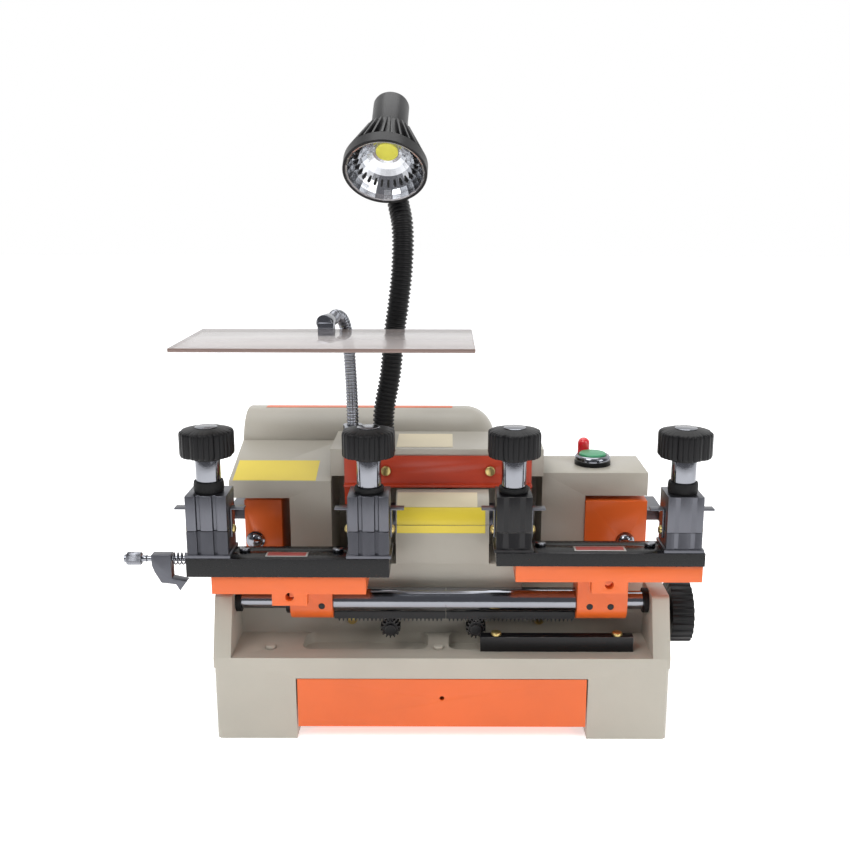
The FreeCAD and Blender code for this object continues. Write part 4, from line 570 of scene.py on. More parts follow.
def turned(name: str, profile: Profile, origin: Vector, way: Vector, steps: int = 64) -> bpy.types.Object:
    """A piece turned on a lathe by spinning its profile.

    Args:
        name: The piece's name.
        profile: Radius and height pairs in millimetres, from the first end to the last.
        origin: Where height 0 lies on the axis.
        way: The axis, towards growing heights.
        steps: Faces round it.

    Returns:
        The new object.
    """
    mesh = bpy.data.meshes.new(name)
    points = [(radius * MM, 0.0, height * MM) for radius, height in profile]
    mesh.from_pydata(points, [(place, place + 1) for place in range(len(points) - 1)], [])
    piece = bpy.data.objects.new(name, mesh)
    bpy.context.scene.collection.objects.link(piece)
    activate(piece)
    bpy.ops.object.mode_set(mode="EDIT")
    bpy.ops.mesh.select_all(action="SELECT")
    bpy.ops.mesh.spin(steps=steps, angle=2 * math.pi, center=(0, 0, 0), axis=(0, 0, 1))
    bpy.ops.object.mode_set(mode="OBJECT")
    tidy_mesh(piece)
    turn = Axis.UP.way.rotation_difference(Vector(way))
    piece.matrix_world = Matrix.Translation(origin) @ turn.to_matrix().to_4x4()
    settle(piece, name)
    return smooth(piece)


def join(name: str, pieces: Sequence[bpy.types.Object]) -> bpy.types.Object:
    """Join several objects into one piece.

    Args:
        name: The piece's name.
        pieces: Objects to join; the first one stays.

    Returns:
        The joined object.
    """
    activate(pieces[0])
    for piece in pieces:
        piece.select_set(True)
    bpy.ops.object.join()
    pieces[0].name = name
    return pieces[0]


def copy_of(piece: bpy.types.Object, name: str, move: Matrix) -> bpy.types.Object:
    """A copy of a piece with its own mesh, moved to another place.

    Args:
        piece: The object to copy.
        name: The copy's name.
        move: How the copy is placed from the first.

    Returns:
        The copy.
    """
    twin = piece.copy()
    twin.data = piece.data.copy()
    bpy.context.scene.collection.objects.link(twin)
    twin.matrix_world = move
    return settle(twin, name)


def delete_vertices(piece: bpy.types.Object, keep: Callable[[Vector], bool]) -> None:
    """Delete every vertex whose place fails a test.

    Args:
        piece: The object to trim.
        keep: The test on a vertex's place.
    """
    activate(piece)
    bpy.context.tool_settings.mesh_select_mode = (True, False, False)
    bpy.ops.object.mode_set(mode="EDIT")
    bpy.ops.mesh.select_all(action="DESELECT")
    bpy.ops.object.mode_set(mode="OBJECT")
    for vertex in piece.data.vertices:
        vertex.select = not keep(vertex.co)
    bpy.ops.object.mode_set(mode="EDIT")
    bpy.ops.mesh.delete(type="VERT")
    bpy.ops.object.mode_set(mode="OBJECT")


def from_frame(
    node: str, name: str, width: float, keep: Callable[[Vector], bool] | None = None, segments: int = 2
) -> bpy.types.Object:
    """A copy of a frame node whose sharp edges are rounded as the real piece's are.

    Args:
        node: The frame node.
        name: The new piece's name.
        width: Width of the rounding in metres.
        keep: A test on a vertex's place; those that fail it are deleted.
        segments: Faces across each rounding.

    Returns:
        The new object.
    """
    piece = bpy.data.objects.new(name, frame["nodes"][node].data.copy())
    bpy.context.scene.collection.objects.link(piece)
    piece.data.materials.clear()
    if keep:
        delete_vertices(piece, keep)
    tidy_mesh(piece, flat_angle=1.0)
    return soften(piece, width, segments)


def body_of(node: str) -> str:
    """The body that a frame node rides on."""
    bodies = frame["record"]["behaviour"]["bodies"]
    return next(body for body, nodes in bodies.items() if node in nodes)


def dress(
    piece: bpy.types.Object, finish: Finish, node: str, replaces: Iterable[str] = ()
) -> bpy.types.Object:
    """Give a piece its finish and fix it to the body of a frame node.

    Args:
        piece: The new object.
        finish: The finish that it gets all over.
        node: The frame node that it belongs with.
        replaces: Frame nodes that it stands for.

    Returns:
        The same object.
    """
    piece.data.materials.clear()
    piece.data.materials.append(finish.material())
    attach(piece, body_of(node))
    for hidden in replaces:
        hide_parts(hidden)
    LOG.info("%s made as %s", piece.name, finish.name)
    return piece


def dress_bent(
    piece: bpy.types.Object, finish: Finish, node: str, span: tuple[Vector, Vector]
) -> bpy.types.Object:
    """Give a flexible piece its finish, move its place into its mesh and hide the frame node that it stands
    for.

    Args:
        piece: The flexible piece.
        finish: Its finish.
        node: The frame node that it stands for.
        span: Where the bend starts and where it ends; not used.

    Returns:
        The same object.
    """
    piece.data.materials.clear()
    piece.data.materials.append(finish.material())
    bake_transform(piece)
    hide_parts(node)
    LOG.info("%s made as %s", piece.name, finish.name)
    return piece


def refinish(node: str, finish: Finish) -> None:
    """Give a frame node that stays a better material."""
    for slot in frame["nodes"][node].material_slots:
        slot.material = finish.material()
    LOG.info("%s kept as %s", node, finish.name)


def film_on(name: str, node: str, low: Point, high: Point, facing: Vector) -> bpy.types.Object:
    """A thin film that lies on the part of a node inside a box and takes its curve.

    Args:
        name: The film's name.
        node: The frame node that carries it.
        low: Lowest corner of the box in millimetres.
        high: Highest corner of the box in millimetres.
        facing: Faces that look about this way are covered.

    Returns:
        The new object.
    """
    film = bpy.data.objects.new(name, frame["nodes"][node].data.copy())
    bpy.context.scene.collection.objects.link(film)
    tidy_mesh(film)
    for axis in (Axis.RIGHT, Axis.BACK, Axis.UP):
        for corner, sign in ((low, -1), (high, 1)):
            activate(film)
            bpy.ops.object.mode_set(mode="EDIT")
            bpy.ops.mesh.select_all(action="SELECT")
            bpy.ops.mesh.bisect(plane_co=Vector(corner) * MM, plane_no=axis.way * sign, clear_outer=True)
            bpy.ops.object.mode_set(mode="OBJECT")
    activate(film)
    bpy.context.tool_settings.mesh_select_mode = (False, False, True)
    for face in film.data.polygons:
        face.select = face.normal.dot(facing) < FILM_LEAN
    bpy.ops.object.mode_set(mode="EDIT")
    bpy.ops.mesh.delete(type="FACE")
    bpy.ops.object.mode_set(mode="OBJECT")
    apply_modifier(film, "SOLIDIFY", thickness=FILM_THICKNESS, offset=1.0)
    return smooth(film)


# Sub-assemblies


@dataclass
class BaseAssembly:
    """The base casting and the dark bar on its ledge."""

    casting_round: float = 2.6 * MM
    bar_round: float = 0.7 * MM

    def build(self) -> None:
        """Make the casting and the bar."""
        casting = from_frame("base_casting", "base_shell", self.casting_round, segments=3)
        dress(casting, BEIGE, "base_casting", ["base_casting"])
        bar = from_frame("tool_bar", "ledge_bar", self.bar_round)
        dress(bar, DARK_STEEL, "tool_bar", ["tool_bar"])
        refinish("power_inlet", KNOB_BLACK)


@dataclass
class HeadAssembly:
    """Housing, rear cover, spindle drum, guard and tracer brackets with their films."""

    housing_round: float = 1.8 * MM
    sheet_round: float = 0.5 * MM
    block_round: float = 0.9 * MM
    screw_round: float = 0.6 * MM
    screw_reach: float = 5 * MM
    ledge_top: float = 72 * MM
    ledge_places: Sequence[float] = (-131.0, -3.0)
    dome_places: Sequence[Point] = ((-152.0, -67.0, 130.0), (148.3, -67.0, 130.0))
    dome_profile: Profile = (
        (0.0, 0.0),
        (7.4, 0.0),
        (7.6, 0.3),
        (7.4, 1.0),
        (6.0, 1.3),
        (5.6, 2.2),
        (4.4, 3.4),
        (2.4, 4.2),
        (0.0, 4.5),
    )

    def build(self) -> None:
        """Make every fixed piece of the head."""
        for node, width, finish in (
            ("head_housing", self.housing_round, BEIGE),
            ("spindle_housing", self.block_round, BEIGE),
            ("cutter_guard", self.sheet_round, GUARD_ORANGE_PAINTED_SHADE),
            ("left_tracer_bracket", self.block_round, ORANGE),
            ("right_tracer_bracket", self.block_round, ORANGE),
        ):
            dress(from_frame(node, f"{node}_shell", width), finish, node, [node])
        for node, finish in (
            ("motor_cover", BEIGE),
            ("tracers", GROUND_STEEL),
            ("motor_body", GROUND_STEEL),
            ("drive_belt", RUBBER),
            ("spindle_bearings", GROUND_STEEL),
            ("spindle", GROUND_STEEL),
            ("left_cutter", GROUND_STEEL),
            ("right_cutter", GROUND_STEEL),
            ("motor_pulley", GROUND_STEEL),
        ):
            refinish(node, finish)
        self.screws()
        self.films()

    def screws(self) -> None:
        """Brass screws, painted ones on the ledge and bright domes on the brackets."""
        node = "body_fasteners"
        brass = from_frame(node, "brass_screws", self.screw_round, lambda place: not self.on_ledge(place))
        dress(brass, BRASS, node, [node])
        dress(from_frame(node, "painted_screws", self.screw_round, self.on_ledge), BEIGE, node)
        for number, (x, y, z) in enumerate(self.dome_places, start=1):
            seat = Vector((x, y, z)) * MM
            dome = turned(f"bracket_dome_{number}", self.dome_profile, seat, Axis.FRONT.way, steps=48)
            dress(dome, CHROME, node)

    def on_ledge(self, place: Vector) -> bool:
        """Whether a place belongs to one of the two ledge screws."""
        near = any(abs(place.x - x * MM) < self.screw_reach for x in self.ledge_places)
        return near and place.z < self.ledge_top

    def films(self) -> None:
        """Lay the bare films where the real ones are."""
        for name, node, low, high, facing, finish in (
            ("hood_film", "head_housing", (-167, -74, 181), (-101, -44, 203), Axis.UP.way, YELLOW_FILM),
            ("shelf_plate", "head_housing", (-37, -66, 206), (8, -21, 209), Axis.UP.way, CREAM_FILM),
            ("drum_film", "spindle_housing", (-35, -107, 150), (33, -84, 169), Axis.FRONT.way, YELLOW_FILM),
            ("drum_band", "spindle_housing", (-35, -107, 169.2), (27, -84, 179), Axis.FRONT.way, CREAM_FILM),
            ("cover_stripe", "motor_cover", (-155, 20, 205), (8, 33, 223), Axis.UP.way, ORANGE),
        ):
            dress(film_on(name, node, low, high, facing), finish, node)


@dataclass
class Drawer:
    """The chip drawer with its orange front."""

    sheet_round: float = 0.6 * MM

    def build(self) -> None:
        """Make the drawer."""
        tray = from_frame("chip_drawer", "drawer_tray", self.sheet_round)
        dress(tray, ORANGE, "chip_drawer", ["chip_drawer"])


@dataclass
class FeedDrive:
    """Rail, sleeves, racks, pinions and the handwheel."""

    wheel_round: float = 0.8 * MM

    def build(self) -> None:
        """Dress the feed's nodes and make the wheel."""
        for node, finish in (
            ("rail_shaft", CHROME),
            ("rail_seals", RUBBER),
            ("racks", DARK_STEEL),
            ("rack_sleeves", CHROME),
            ("left_pinion", DARK_STEEL),
            ("right_pinion", DARK_STEEL),
            ("cross_shaft", GROUND_STEEL),
        ):
            refinish(node, finish)
        wheel = from_frame("handwheel", "feed_wheel", self.wheel_round)
        dress(wheel, KNOB_BLACK, "handwheel", ["handwheel"])


@dataclass
class SwitchPanel:
    """The start button in its ring and the red lamp behind it."""

    foot: Point = (124.0, -36.5, 187.0)
    cap_round: float = 1.1 * MM
    bezel_profile: Profile = ((11.2, 0.0), (14.8, 0.0), (14.8, 3.0), (14.4, 3.4), (11.2, 3.4), (11.2, 0.0))
    ring_profile: Profile = (
        (11.2, 3.4),
        (14.2, 3.4),
        (14.6, 3.8),
        (14.6, 6.2),
        (13.8, 7.4),
        (12.6, 8.0),
        (11.8, 7.8),
        (11.2, 7.0),
        (11.2, 3.4),
    )

    def build(self) -> None:
        """Make the black bezel, the bright ring, the cap and the lamp."""
        node = "button_mount"
        foot = Vector(self.foot) * MM
        dress(turned("button_bezel", self.bezel_profile, foot, Axis.UP.way), KNOB_BLACK, node, [node])
        dress(turned("button_ring", self.ring_profile, foot, Axis.UP.way), CHROME, node)
        cap = from_frame("button_cap", "button_dome", self.cap_round, segments=4)
        dress(cap, GREEN, "button_cap", ["button_cap"])
        refinish("indicator_lamp", RED)


@dataclass
class Carriage:
    """An arm on the rail with its table, screws and bare label."""

    side: str
    table_top: float
    label_low: tuple[float, float]
    label_high: tuple[float, float]
    arm_round: float = 1.0 * MM
    table_round: float = 0.7 * MM
    screw_round: float = 0.4 * MM
    screw_sink: float = 1.0
    label_rim: float = 1.4 * MM
    label_height: float = 0.4 * MM
    panel_rise: float = 1.4

    def build(self) -> None:
        """Make the arm, the table, the screws and the label."""
        arm, table, fixings = f"{self.side}_arm", f"{self.side}_table", f"{self.side}_fixings"
        dress(from_frame(arm, f"{arm}_casting", self.arm_round), ORANGE, arm, [arm])
        dress(from_frame(table, f"{table}_plate", self.table_round), TABLE_BLACK, table, [table])
        seat = (self.table_top - self.screw_sink) * MM
        dark = from_frame(fixings, f"{fixings}_dark", self.screw_round, lambda place: place.z < seat)
        dress(dark, DARK_STEEL, fixings, [fixings])
        bright = from_frame(fixings, f"{fixings}_bright", self.screw_round, lambda place: place.z > seat)
        dress(bright, CHROME, fixings)
        self.label(table)

    def label(self, table: str) -> None:
        """Lay a bare label on the table.

        Args:
            table: The node that carries it.
        """
        low, high = (Vector((*corner, self.table_top)) * MM for corner in (self.label_low, self.label_high))
        raised = Vector((0, 0, self.label_height))
        rim = Vector((self.label_rim, self.label_rim, 0))
        plate = add_block(f"{self.side}_label_plate", low, high + raised, self.label_height / 2)
        dress(plate, SILVER_PLATE, table)
        low, high = low + rim + raised / 2, high - rim + raised * self.panel_rise
        panel = add_block(f"{self.side}_label_panel", low, high, self.label_height / 4)
        dress(panel, RED_PLATE, table)


@dataclass
class Vise:
    """One key vise: two jaws, stop fingers, post, rubber collar and lobed knob."""

    title: str
    side: str
    place: float
    width: float
    finish: Finish
    collar_height: float
    post_y: float = -136.0
    jaw_top: float = 192.2
    post_top: float = 216.5
    post_radius: float = 9.0
    post_gap: float = 0.1
    post_sink: float = 1.0 * MM
    post_round: float = 0.4 * MM
    collar_radius: float = 10.6
    collar_bulge: float = 0.4
    jaw_round: float = 0.6 * MM
    lobes: int = 6
    lobe_depth: float = 0.06
    rib_depth: float = 0.035
    ribs: int = 30
    lobe_core: float = 13 * MM
    lobe_rim: float = 20 * MM
    lobe_rise: float = 1.5
    pivot_height: float = 163.0
    screw_stand: float = 1.4
    first_on_table: bool = False
    plain: bool = False
    jaw_front: float = -150.0
    front_depth: float = 2.6
    front_sink: float = 0.02
    lower_front: tuple[float, float] = (152.5, 165.0)
    upper_front: tuple[float, float] = (165.3, 192.0)
    grip_profile: Profile = (
        (9.2, 0.0),
        (10.4, 0.0),
        (10.6, 2.0),
        (17.4, 2.6),
        (19.0, 3.0),
        (19.5, 3.8),
        (19.7, 5.0),
        (19.7, 12.0),
        (19.7, 19.0),
        (19.5, 20.4),
        (19.0, 21.2),
        (17.4, 21.9),
        (13.2, 22.9),
        (9.0, 23.6),
        (8.6, 23.4),
        (0.0, 23.4),
    )
    cap_profile: Profile = ((8.2, 23.2), (8.2, 23.9), (7.6, 24.3), (0.0, 24.5))
    screw_profile: Profile = ((0, -1.2), (3.4, -1.2), (3.4, 0.3), (3.0, 1.3), (2.0, 2.0), (0.0, 2.3))

    def build(self) -> None:
        """Make the whole vise."""
        self.jaws()
        self.stops()
        self.knob()

    def jaws(self) -> None:
        """The lower jaw on the table and the upper jaw above it."""
        node = f"{self.side}_lower_jaws"
        reach = self.width * MM
        centre = self.place * MM
        lower = from_frame(
            node, f"vise_{self.title}_lower", self.jaw_round, lambda place: abs(place.x - centre) < reach
        )
        dress(lower, self.finish, node, [node] if self.first_on_table else [])
        upper_node = f"vise_{self.title}_upper_jaw"
        upper = from_frame(upper_node, f"vise_{self.title}_upper", self.jaw_round)
        dress(upper, self.finish, upper_node, [upper_node])
        if self.plain:
            self.front(node, "lower", self.lower_front)
            self.front(upper_node, "upper", self.upper_front)
        low = Vector((self.place * MM, self.post_y * MM, self.jaw_top * MM))
        collar = turned(f"vise_{self.title}_collar", self.collar(), low, Axis.UP.way, steps=48)
        dress(collar, RUBBER, upper_node)

    def front(self, node: str, title: str, heights: tuple[float, float]) -> None:
        """A plain face in the front of a jaw.

        Args:
            node: The frame node that the jaw belongs with.
            title: Which jaw it is.
            heights: Where the face starts and ends, in millimetres.
        """
        half = self.width / 2 - self.front_sink
        low = Vector((self.place - half, self.jaw_front + self.front_sink, heights[0] + self.front_sink))
        high = Vector((self.place + half, self.jaw_front + self.front_depth, heights[1] - self.front_sink))
        dress(add_block(f"vise_{self.title}_{title}_front", low * MM, high * MM), self.finish, node)

    def collar(self) -> Profile:
        """The section of the rubber collar round the post."""
        inner, outer, height = self.post_radius + self.post_gap, self.collar_radius, self.collar_height
        bulge = self.collar_bulge
        return (
            (inner, 0.0),
            (outer, 0.0),
            (outer + bulge, height / 3),
            (outer + bulge, height * 2 / 3),
            (outer, height),
            (inner, height),
            (inner, 0.0),
        )

    def stops(self) -> None:
        """The bent stop fingers and the screws that they turn on."""
        node = f"vise_{self.title}_stops"
        fingers = from_frame(node, f"vise_{self.title}_fingers", self.jaw_round / 2)
        dress(fingers, GROUND_STEEL, node, [node])
        reach = self.width / 2 + self.screw_stand
        for sign, name in ((-1, "left"), (1, "right")):
            seat = Vector(((self.place + sign * reach) * MM, self.post_y * MM, self.pivot_height * MM))
            way = Axis.RIGHT.way * sign
            screw = turned(f"vise_{self.title}_screw_{name}", self.screw_profile, seat, way, steps=32)
            dress(screw, BRASS, node)

    def knob(self) -> None:
        """The lobed grip, its bright cap and the chromed post."""
        node = f"vise_{self.title}_knob"
        foot = Vector((self.place * MM, self.post_y * MM, self.post_top * MM))
        grip = turned(f"vise_{self.title}_grip", self.grip_profile, foot, Axis.UP.way, steps=240)
        for vertex in grip.data.vertices:
            out = Vector((vertex.co.x - foot.x, vertex.co.y - foot.y, 0))
            if out.length > self.lobe_core:
                turn = math.atan2(out.y, out.x) * self.lobes
                notch = max(0.0, math.cos(turn)) ** 2
                rib = max(0.0, math.cos(turn * self.ribs / self.lobes)) ** 2
                share = (out.length - self.lobe_core) / (self.lobe_rim - self.lobe_core)
                depth = self.lobe_depth * notch + self.rib_depth * rib
                vertex.co -= out * depth * min(1.0, share * self.lobe_rise)
        smooth(grip, angle=50)
        dress(grip, KNOB_BLACK, node, [node])
        cap = turned(f"vise_{self.title}_cap", self.cap_profile, foot, Axis.UP.way, steps=48)
        dress(cap, CHROME, node)
        low = Vector((foot.x, foot.y, (self.jaw_top + self.post_gap) * MM))
        high = foot + Vector((0, 0, self.post_sink))
        post = add_rod(f"vise_{self.title}_post", low, high, self.post_radius * MM, 64, self.post_round)
        dress(post, CHROME, node)


@dataclass
class WidthGauge:
    """The sliding width gauge on the end of the left table."""

    axis_y: float = -140.0
    axis_z: float = 141.0
    knob_start: float = -235.5
    ribs: int = 36
    rib_depth: float = 0.07
    rib_core: float = 4.2 * MM
    block_round: float = 0.8 * MM
    wire: float = 0.5 * MM
    coil_radius: float = 4.2 * MM
    turns: int = 4
    screw_profile: Profile = (
        (0.0, 0.2),
        (2.6, 0.2),
        (3.0, 0.6),
        (3.0, 1.8),
        (4.4, 2.2),
        (4.8, 2.8),
        (4.8, 12.4),
        (4.4, 13.0),
        (2.8, 13.6),
        (2.2, 15.4),
        (2.6, 17.0),
        (2.0, 17.4),
        (2.0, 61.6),
        (0.0, 61.6),
    )

    def build(self) -> None:
        """Make the knurled screw, the block and the spring."""
        start = Vector((self.knob_start * MM, self.axis_y * MM, self.axis_z * MM))
        screw = turned("gauge_knurled_screw", self.screw_profile, start, Axis.RIGHT.way, steps=self.ribs * 4)
        for vertex in screw.data.vertices:
            out = Vector((0, vertex.co.y - start.y, vertex.co.z - start.z))
            if out.length > self.rib_core:
                wave = 0.5 - 0.5 * math.cos(math.atan2(out.z, out.y) * self.ribs)
                vertex.co -= out * self.rib_depth * wave
        dress(screw, CHROME, "gauge_screw", ["gauge_screw"])
        hook = from_frame("gauge_block", "gauge_hook", self.block_round)
        dress(hook, GROUND_STEEL, "gauge_block", ["gauge_block"])
        self.spring()

    def spring(self) -> None:
        """Wind the coil spring from a circle of wire."""
        low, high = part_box("gauge_spring")
        clear_selection()
        bpy.ops.mesh.primitive_circle_add(
            vertices=12,
            radius=self.wire,
            location=(low.x + self.wire, self.axis_y * MM + self.coil_radius, self.axis_z * MM),
        )
        ring = settle(bpy.context.object, "gauge_coil")
        core = bpy.data.objects.new("coil_axis", None)
        core.location = (low.x + self.wire, self.axis_y * MM, self.axis_z * MM)
        bpy.context.scene.collection.objects.link(core)
        apply_modifier(
            ring,
            "SCREW",
            axis="X",
            object=core,
            angle=2 * math.pi * self.turns,
            screw_offset=high.x - low.x - 2 * self.wire,
            steps=32 * self.turns,
            use_smooth_shade=True,
        )
        bpy.data.objects.remove(core)
        span = (Vector((high.x, 0, 0)), Vector((low.x, 0, 0)))
        dress_bent(smooth(ring), GROUND_STEEL, "gauge_spring", span)


@dataclass
class Route:
    """A flexible ribbed tube: its route, its ribs and the heights that it bends between, in millimetres."""

    points: Sequence[Point]
    radius: float
    rib_depth: float
    pitch: float
    bend: tuple[float, float]
    sides: int = 40
    end_gap: float = 0.05

    def curve(self) -> bpy.types.Object:
        """The route as a smooth curve through its points."""
        data = bpy.data.curves.new("route", "CURVE")
        data.dimensions = "3D"
        data.resolution_u = 32
        spline = data.splines.new("BEZIER")
        spline.bezier_points.add(len(self.points) - 1)
        for knot, place in zip(spline.bezier_points, self.points):
            knot.co = Vector(place) * MM
            knot.handle_left_type = knot.handle_right_type = "AUTO"
        line = bpy.data.objects.new("route", data)
        bpy.context.scene.collection.objects.link(line)
        bpy.context.view_layer.update()
        return line

    def length(self, line: bpy.types.Object) -> float:
        """The route's length in millimetres.

        Args:
            line: The route's curve.

        Returns:
            The length.
        """
        path = bpy.data.meshes.new_from_object(line.evaluated_get(bpy.context.evaluated_depsgraph_get()))
        ends = [[path.vertices[place].co for place in edge.vertices] for edge in path.edges]
        total = sum((start - end).length for start, end in ends)
        bpy.data.meshes.remove(path)
        return total / MM

    def span(self) -> tuple[Vector, Vector]:
        """Where the bend starts and where it ends."""
        low, high = self.bend
        return Vector((0, 0, low * MM)), Vector((0, 0, high * MM))

    def tube(self, name: str) -> bpy.types.Object:
        """The ribbed tube, turned straight and then bent along the route.

        Args:
            name: The piece's name.

        Returns:
            The new object.
        """
        line = self.curve()
        whole = self.length(line) - self.end_gap
        ribs = round(whole / self.pitch)
        step = whole / ribs
        profile = [(0.0, 0.0)]
        for rib in range(ribs):
            base = rib * step
            for share, depth in RIB_SHAPE:
                profile.append((self.radius - depth * self.rib_depth, base + share * step))
        profile += [(self.radius, whole), (0.0, whole)]
        piece = turned(name, profile, Vector(), Axis.UP.way, steps=self.sides)
        apply_modifier(piece, "CURVE", object=line, deform_axis="POS_Z")
        bpy.data.objects.remove(line)
        return smooth(piece, angle=60)


@dataclass
class WorkLamp:
    """The finned lamp on its ribbed black hose."""

    face: Point = (-44.3, -58.2, 420.0)
    tilt: float = 45.0
    yaw: float = 3.0
    fins: int = 28
    fin_thickness: float = 1.7
    fin_low: float = 9.6
    fin_high: float = 42.0
    fin_front: tuple[float, float] = (22.0, 32.2)
    fin_back: tuple[float, float] = (14.8, 18.6)
    fin_round: float = 0.3 * MM
    facets: int = 26
    stem_length: float = 44 * MM
    stem_round: float = 0.4 * MM
    hose: Route = field(
        default_factory=lambda: Route(
            (
                (-49, -30, 208),
                (-49, -30, 225.6),
                (-43, -29, 262),
                (-40, -28, 292),
                (-36, -27, 320),
                (-33, -24, 350),
                (-33, -19.5, 380),
                (-37, -12.2, 402.4),
                (-37, -12.2, 420),
            ),
            8.8,
            1.1,
            3.4,
            (285, 355),
        )
    )
    core_profile: Profile = (
        (30.2, 1.4),
        (30.2, 0.6),
        (30.6, 0.2),
        (32.0, 0.2),
        (32.4, 0.7),
        (32.4, 9.0),
        (31.8, 9.8),
        (26.0, 10.2),
        (25.0, 13.0),
        (19.0, 30.0),
        (15.6, 42.0),
        (15.4, 44.0),
        (14.2, 44.4),
        (14.2, 73.6),
        (13.6, 75.2),
        (12.2, 75.9),
        (0.0, 76.0),
    )
    bowl_profile: Profile = (
        (30.2, 0.8),
        (29.0, 1.2),
        (27.6, 4.6),
        (25.6, 8.4),
        (22.8, 12.4),
        (19.2, 16.4),
        (15.2, 19.8),
        (11.4, 22.2),
        (9.4, 23.0),
        (0.0, 23.0),
    )
    chip_profile: Profile = ((8.6, 22.9), (8.6, 22.2), (8.0, 21.9), (7.4, 21.9), (6.6, 21.4), (0.0, 21.1))

    def build(self) -> None:
        """Make the hose, the head, the reflector and the light."""
        hose = self.hose.tube("lamp_hose_tube")
        dress_bent(hose, HOSE_BLACK, "lamp_hose", self.hose.span())
        place = self.placement()
        parts = [turned("lamp_core", self.core_profile, Vector(), Axis.UP.way, steps=72)]
        fin = self.fin()
        for number in range(self.fins):
            turn = Matrix.Rotation(2 * math.pi * number / self.fins, 4, "Z")
            parts.append(copy_of(fin, f"lamp_fin_{number}", turn))
        bpy.data.objects.remove(fin)
        head = join("lamp_finned_head", parts)
        head.matrix_world = place
        smooth(settle(head, "lamp_finned_head"))
        dress(head, LAMP_BLACK, "lamp_head", ["lamp_head"])
        self.stem()
        bowl = turned("lamp_bowl", self.bowl_profile, Vector(), Axis.UP.way, steps=self.facets)
        bowl.matrix_world = place
        settle(bowl, "lamp_bowl")
        bpy.ops.object.shade_flat()
        dress(bowl, REFLECTOR, "lamp_reflector", ["lamp_reflector"])
        chip = turned("lamp_chip", self.chip_profile, Vector(), Axis.UP.way, steps=48)
        chip.matrix_world = place
        dress(settle(chip, "lamp_chip"), LED, "lamp_reflector")

    def placement(self) -> Matrix:
        """Where the lamp's face stands and how it is turned."""
        lean = Matrix.Rotation(math.radians(self.tilt - 90), 4, "X")
        swing = Matrix.Rotation(math.radians(-self.yaw), 4, "Z")
        return Matrix.Translation(Vector(self.face) * MM) @ swing @ lean

    def fin(self) -> bpy.types.Object:
        """One fin that narrows towards the lamp's back."""
        half = self.fin_thickness / 2
        inner, outer = self.fin_front
        inner_back, outer_back = self.fin_back
        low = Vector((inner, -half, self.fin_low)) * MM
        high = Vector((outer, half, self.fin_high)) * MM
        piece = add_block("fin", low, high)
        centre = (low + high) / 2
        for vertex in piece.data.vertices:
            if vertex.co.z > centre.z:
                vertex.co.x = (inner_back if vertex.co.x < centre.x else outer_back) * MM
        return soften(piece, self.fin_round)

    def stem(self) -> None:
        """The straight end of the hose's fitting, up into the lamp's back."""
        end = Vector(self.hose.points[-1]) * MM
        top = end + Vector((0, 0, self.stem_length))
        fitting = add_rod("lamp_stem", end, top, self.hose.radius * MM, 48, self.stem_round)
        dress(fitting, LAMP_BLACK, "lamp_head")


@dataclass
class ChipShield:
    """The clear plate on its chromed flexible neck."""

    plate_round: float = 0.7 * MM
    edge_lean: float = 0.9
    clip_round: float = 0.8 * MM
    neck: Route = field(
        default_factory=lambda: Route(
            (
                (-74, -38, 220),
                (-74, -38, 230),
                (-75, -37, 262),
                (-77, -37, 290),
                (-80, -41, 306),
                (-84, -51, 311),
                (-86, -60.2, 309.6),
                (-88, -70, 309),
            ),
            5.0,
            0.5,
            2.9,
            (245, 280),
        )
    )

    def build(self) -> None:
        """Make the plate with tinted edges, the neck and its fittings."""
        neck = self.neck.tube("shield_neck_tube")
        dress_bent(neck, CHROME, "shield_neck", self.neck.span())
        refinish("shield_socket", CHROME)
        plate = from_frame("shield_plate", "shield_sheet", self.plate_round)
        dress(plate, CLEAR, "shield_plate", ["shield_plate"])
        plate.data.materials.append(EDGE.material())
        for face in plate.data.polygons:
            face.material_index = int(abs(face.normal.z) < self.edge_lean)
        clip = from_frame("shield_clip", "shield_holder", self.clip_round)
        dress(clip, CHROME, "shield_clip", ["shield_clip"])


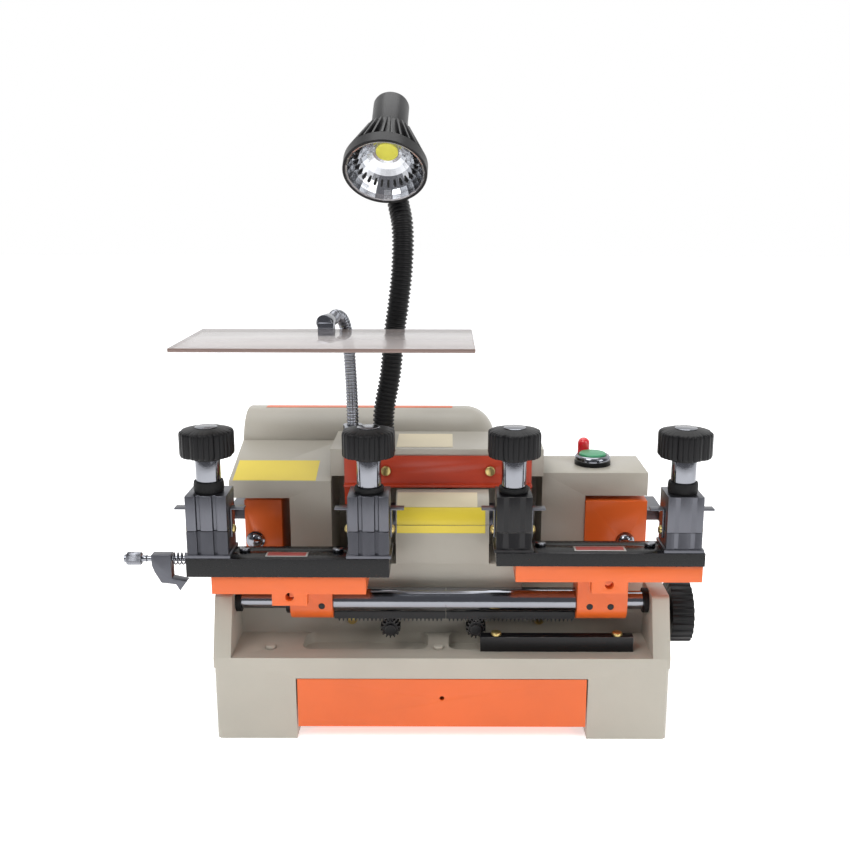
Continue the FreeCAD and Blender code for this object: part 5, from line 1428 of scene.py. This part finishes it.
@dataclass
class Studio:
    """Pale floor, soft light and the photograph's camera."""

    eye: Point = (0.003, -0.851, 0.4045)
    pitch: float = 77.0
    roll: float = 0.15
    lens: float = 42.99
    shift: tuple[float, float] = (-0.0254, 0.0041)
    floor_size: float = 12.0
    front_tone: str = "#7A7A7E"
    room_tone: str = "#FFFFFF"
    room_start: float = 0.35

    def build(self) -> None:
        """Set the stage."""
        clear_selection()
        bpy.ops.mesh.primitive_plane_add(size=self.floor_size)
        floor = settle(bpy.context.object, "studio_floor")
        floor.data.materials.append(FLOOR.material())
        self.camera()
        self.lights()

    def camera(self) -> None:
        """Place the camera where the photograph was taken."""
        data = bpy.data.cameras.new("photo_camera")
        data.lens = self.lens
        data.sensor_width = 36.0
        data.shift_x, data.shift_y = self.shift
        camera = bpy.data.objects.new("photo_camera", data)
        tip = Matrix.Rotation(math.radians(self.pitch), 4, "X")
        roll = Matrix.Rotation(math.radians(self.roll), 4, "Z")
        camera.matrix_world = Matrix.Translation(self.eye) @ tip @ roll
        bpy.context.scene.collection.objects.link(camera)
        bpy.context.scene.camera = camera

    def lights(self) -> None:
        """A white room that is darker behind the camera, and three large soft lamps."""
        scene = bpy.context.scene
        scene.view_settings.view_transform = "Standard"
        world = bpy.data.worlds.new("studio")
        world.use_nodes = True
        background = next(node for node in world.node_tree.nodes if node.type == "BACKGROUND")
        tree = world.node_tree
        sky = add_node(tree, "ShaderNodeTexCoord").outputs["Generated"]
        parts = add_node(tree, "ShaderNodeSeparateXYZ", {"Vector": sky})
        room = set_ramp(
            add_node(tree, "ShaderNodeValToRGB", {"Fac": parts.outputs["Y"]}),
            [(0.0, linear(self.front_tone)), (self.room_start, linear(self.room_tone))],
        )
        tree.links.new(room.outputs["Color"], background.inputs["Color"])
        scene.world = world
        for name, place, aim, breadth, power in (
            ("key_light", (-0.8, -1.1, 1.6), (0, 0, 0.15), 1.0, 17.0),
            ("fill_light", (1.2, -1.1, 0.9), (0, 0, 0.15), 1.0, 9.0),
            ("top_light", (0.0, 0.2, 1.8), (0, 0, 0.1), 1.4, 13.0),
        ):
            lamp = bpy.data.lights.new(name, "AREA")
            lamp.size = breadth
            lamp.energy = power
            holder = bpy.data.objects.new(name, lamp)
            holder.location = place
            way = Vector(aim) - Vector(place)
            holder.rotation_euler = way.to_track_quat("-Z", "Y").to_euler()
            scene.collection.objects.link(holder)


def main() -> None:
    """Build every sub-assembly in order."""
    logging.basicConfig(level=logging.INFO)
    Studio().build()
    BaseAssembly().build()
    HeadAssembly().build()
    Drawer().build()
    FeedDrive().build()
    SwitchPanel().build()
    Carriage("left", 145.0, (-130, -147), (-99, -137)).build()
    Carriage("right", 150.0, (97, -147), (135, -137)).build()
    Vise("one", "left", -171.0, 30.0, GROUND_STEEL, 8.0, first_on_table=True).build()
    Vise("two", "left", -53.6, 30.0, GROUND_STEEL, 4.0).build()
    Vise("three", "right", 52.3, 26.0, DARK_STEEL, 4.0, first_on_table=True, plain=True).build()
    Vise("four", "right", 176.2, 26.0, GROUND_STEEL, 8.0, plain=True).build()
    WidthGauge().build()
    WorkLamp().build()
    ChipShield().build()


if __name__ == "__main__":
    main()
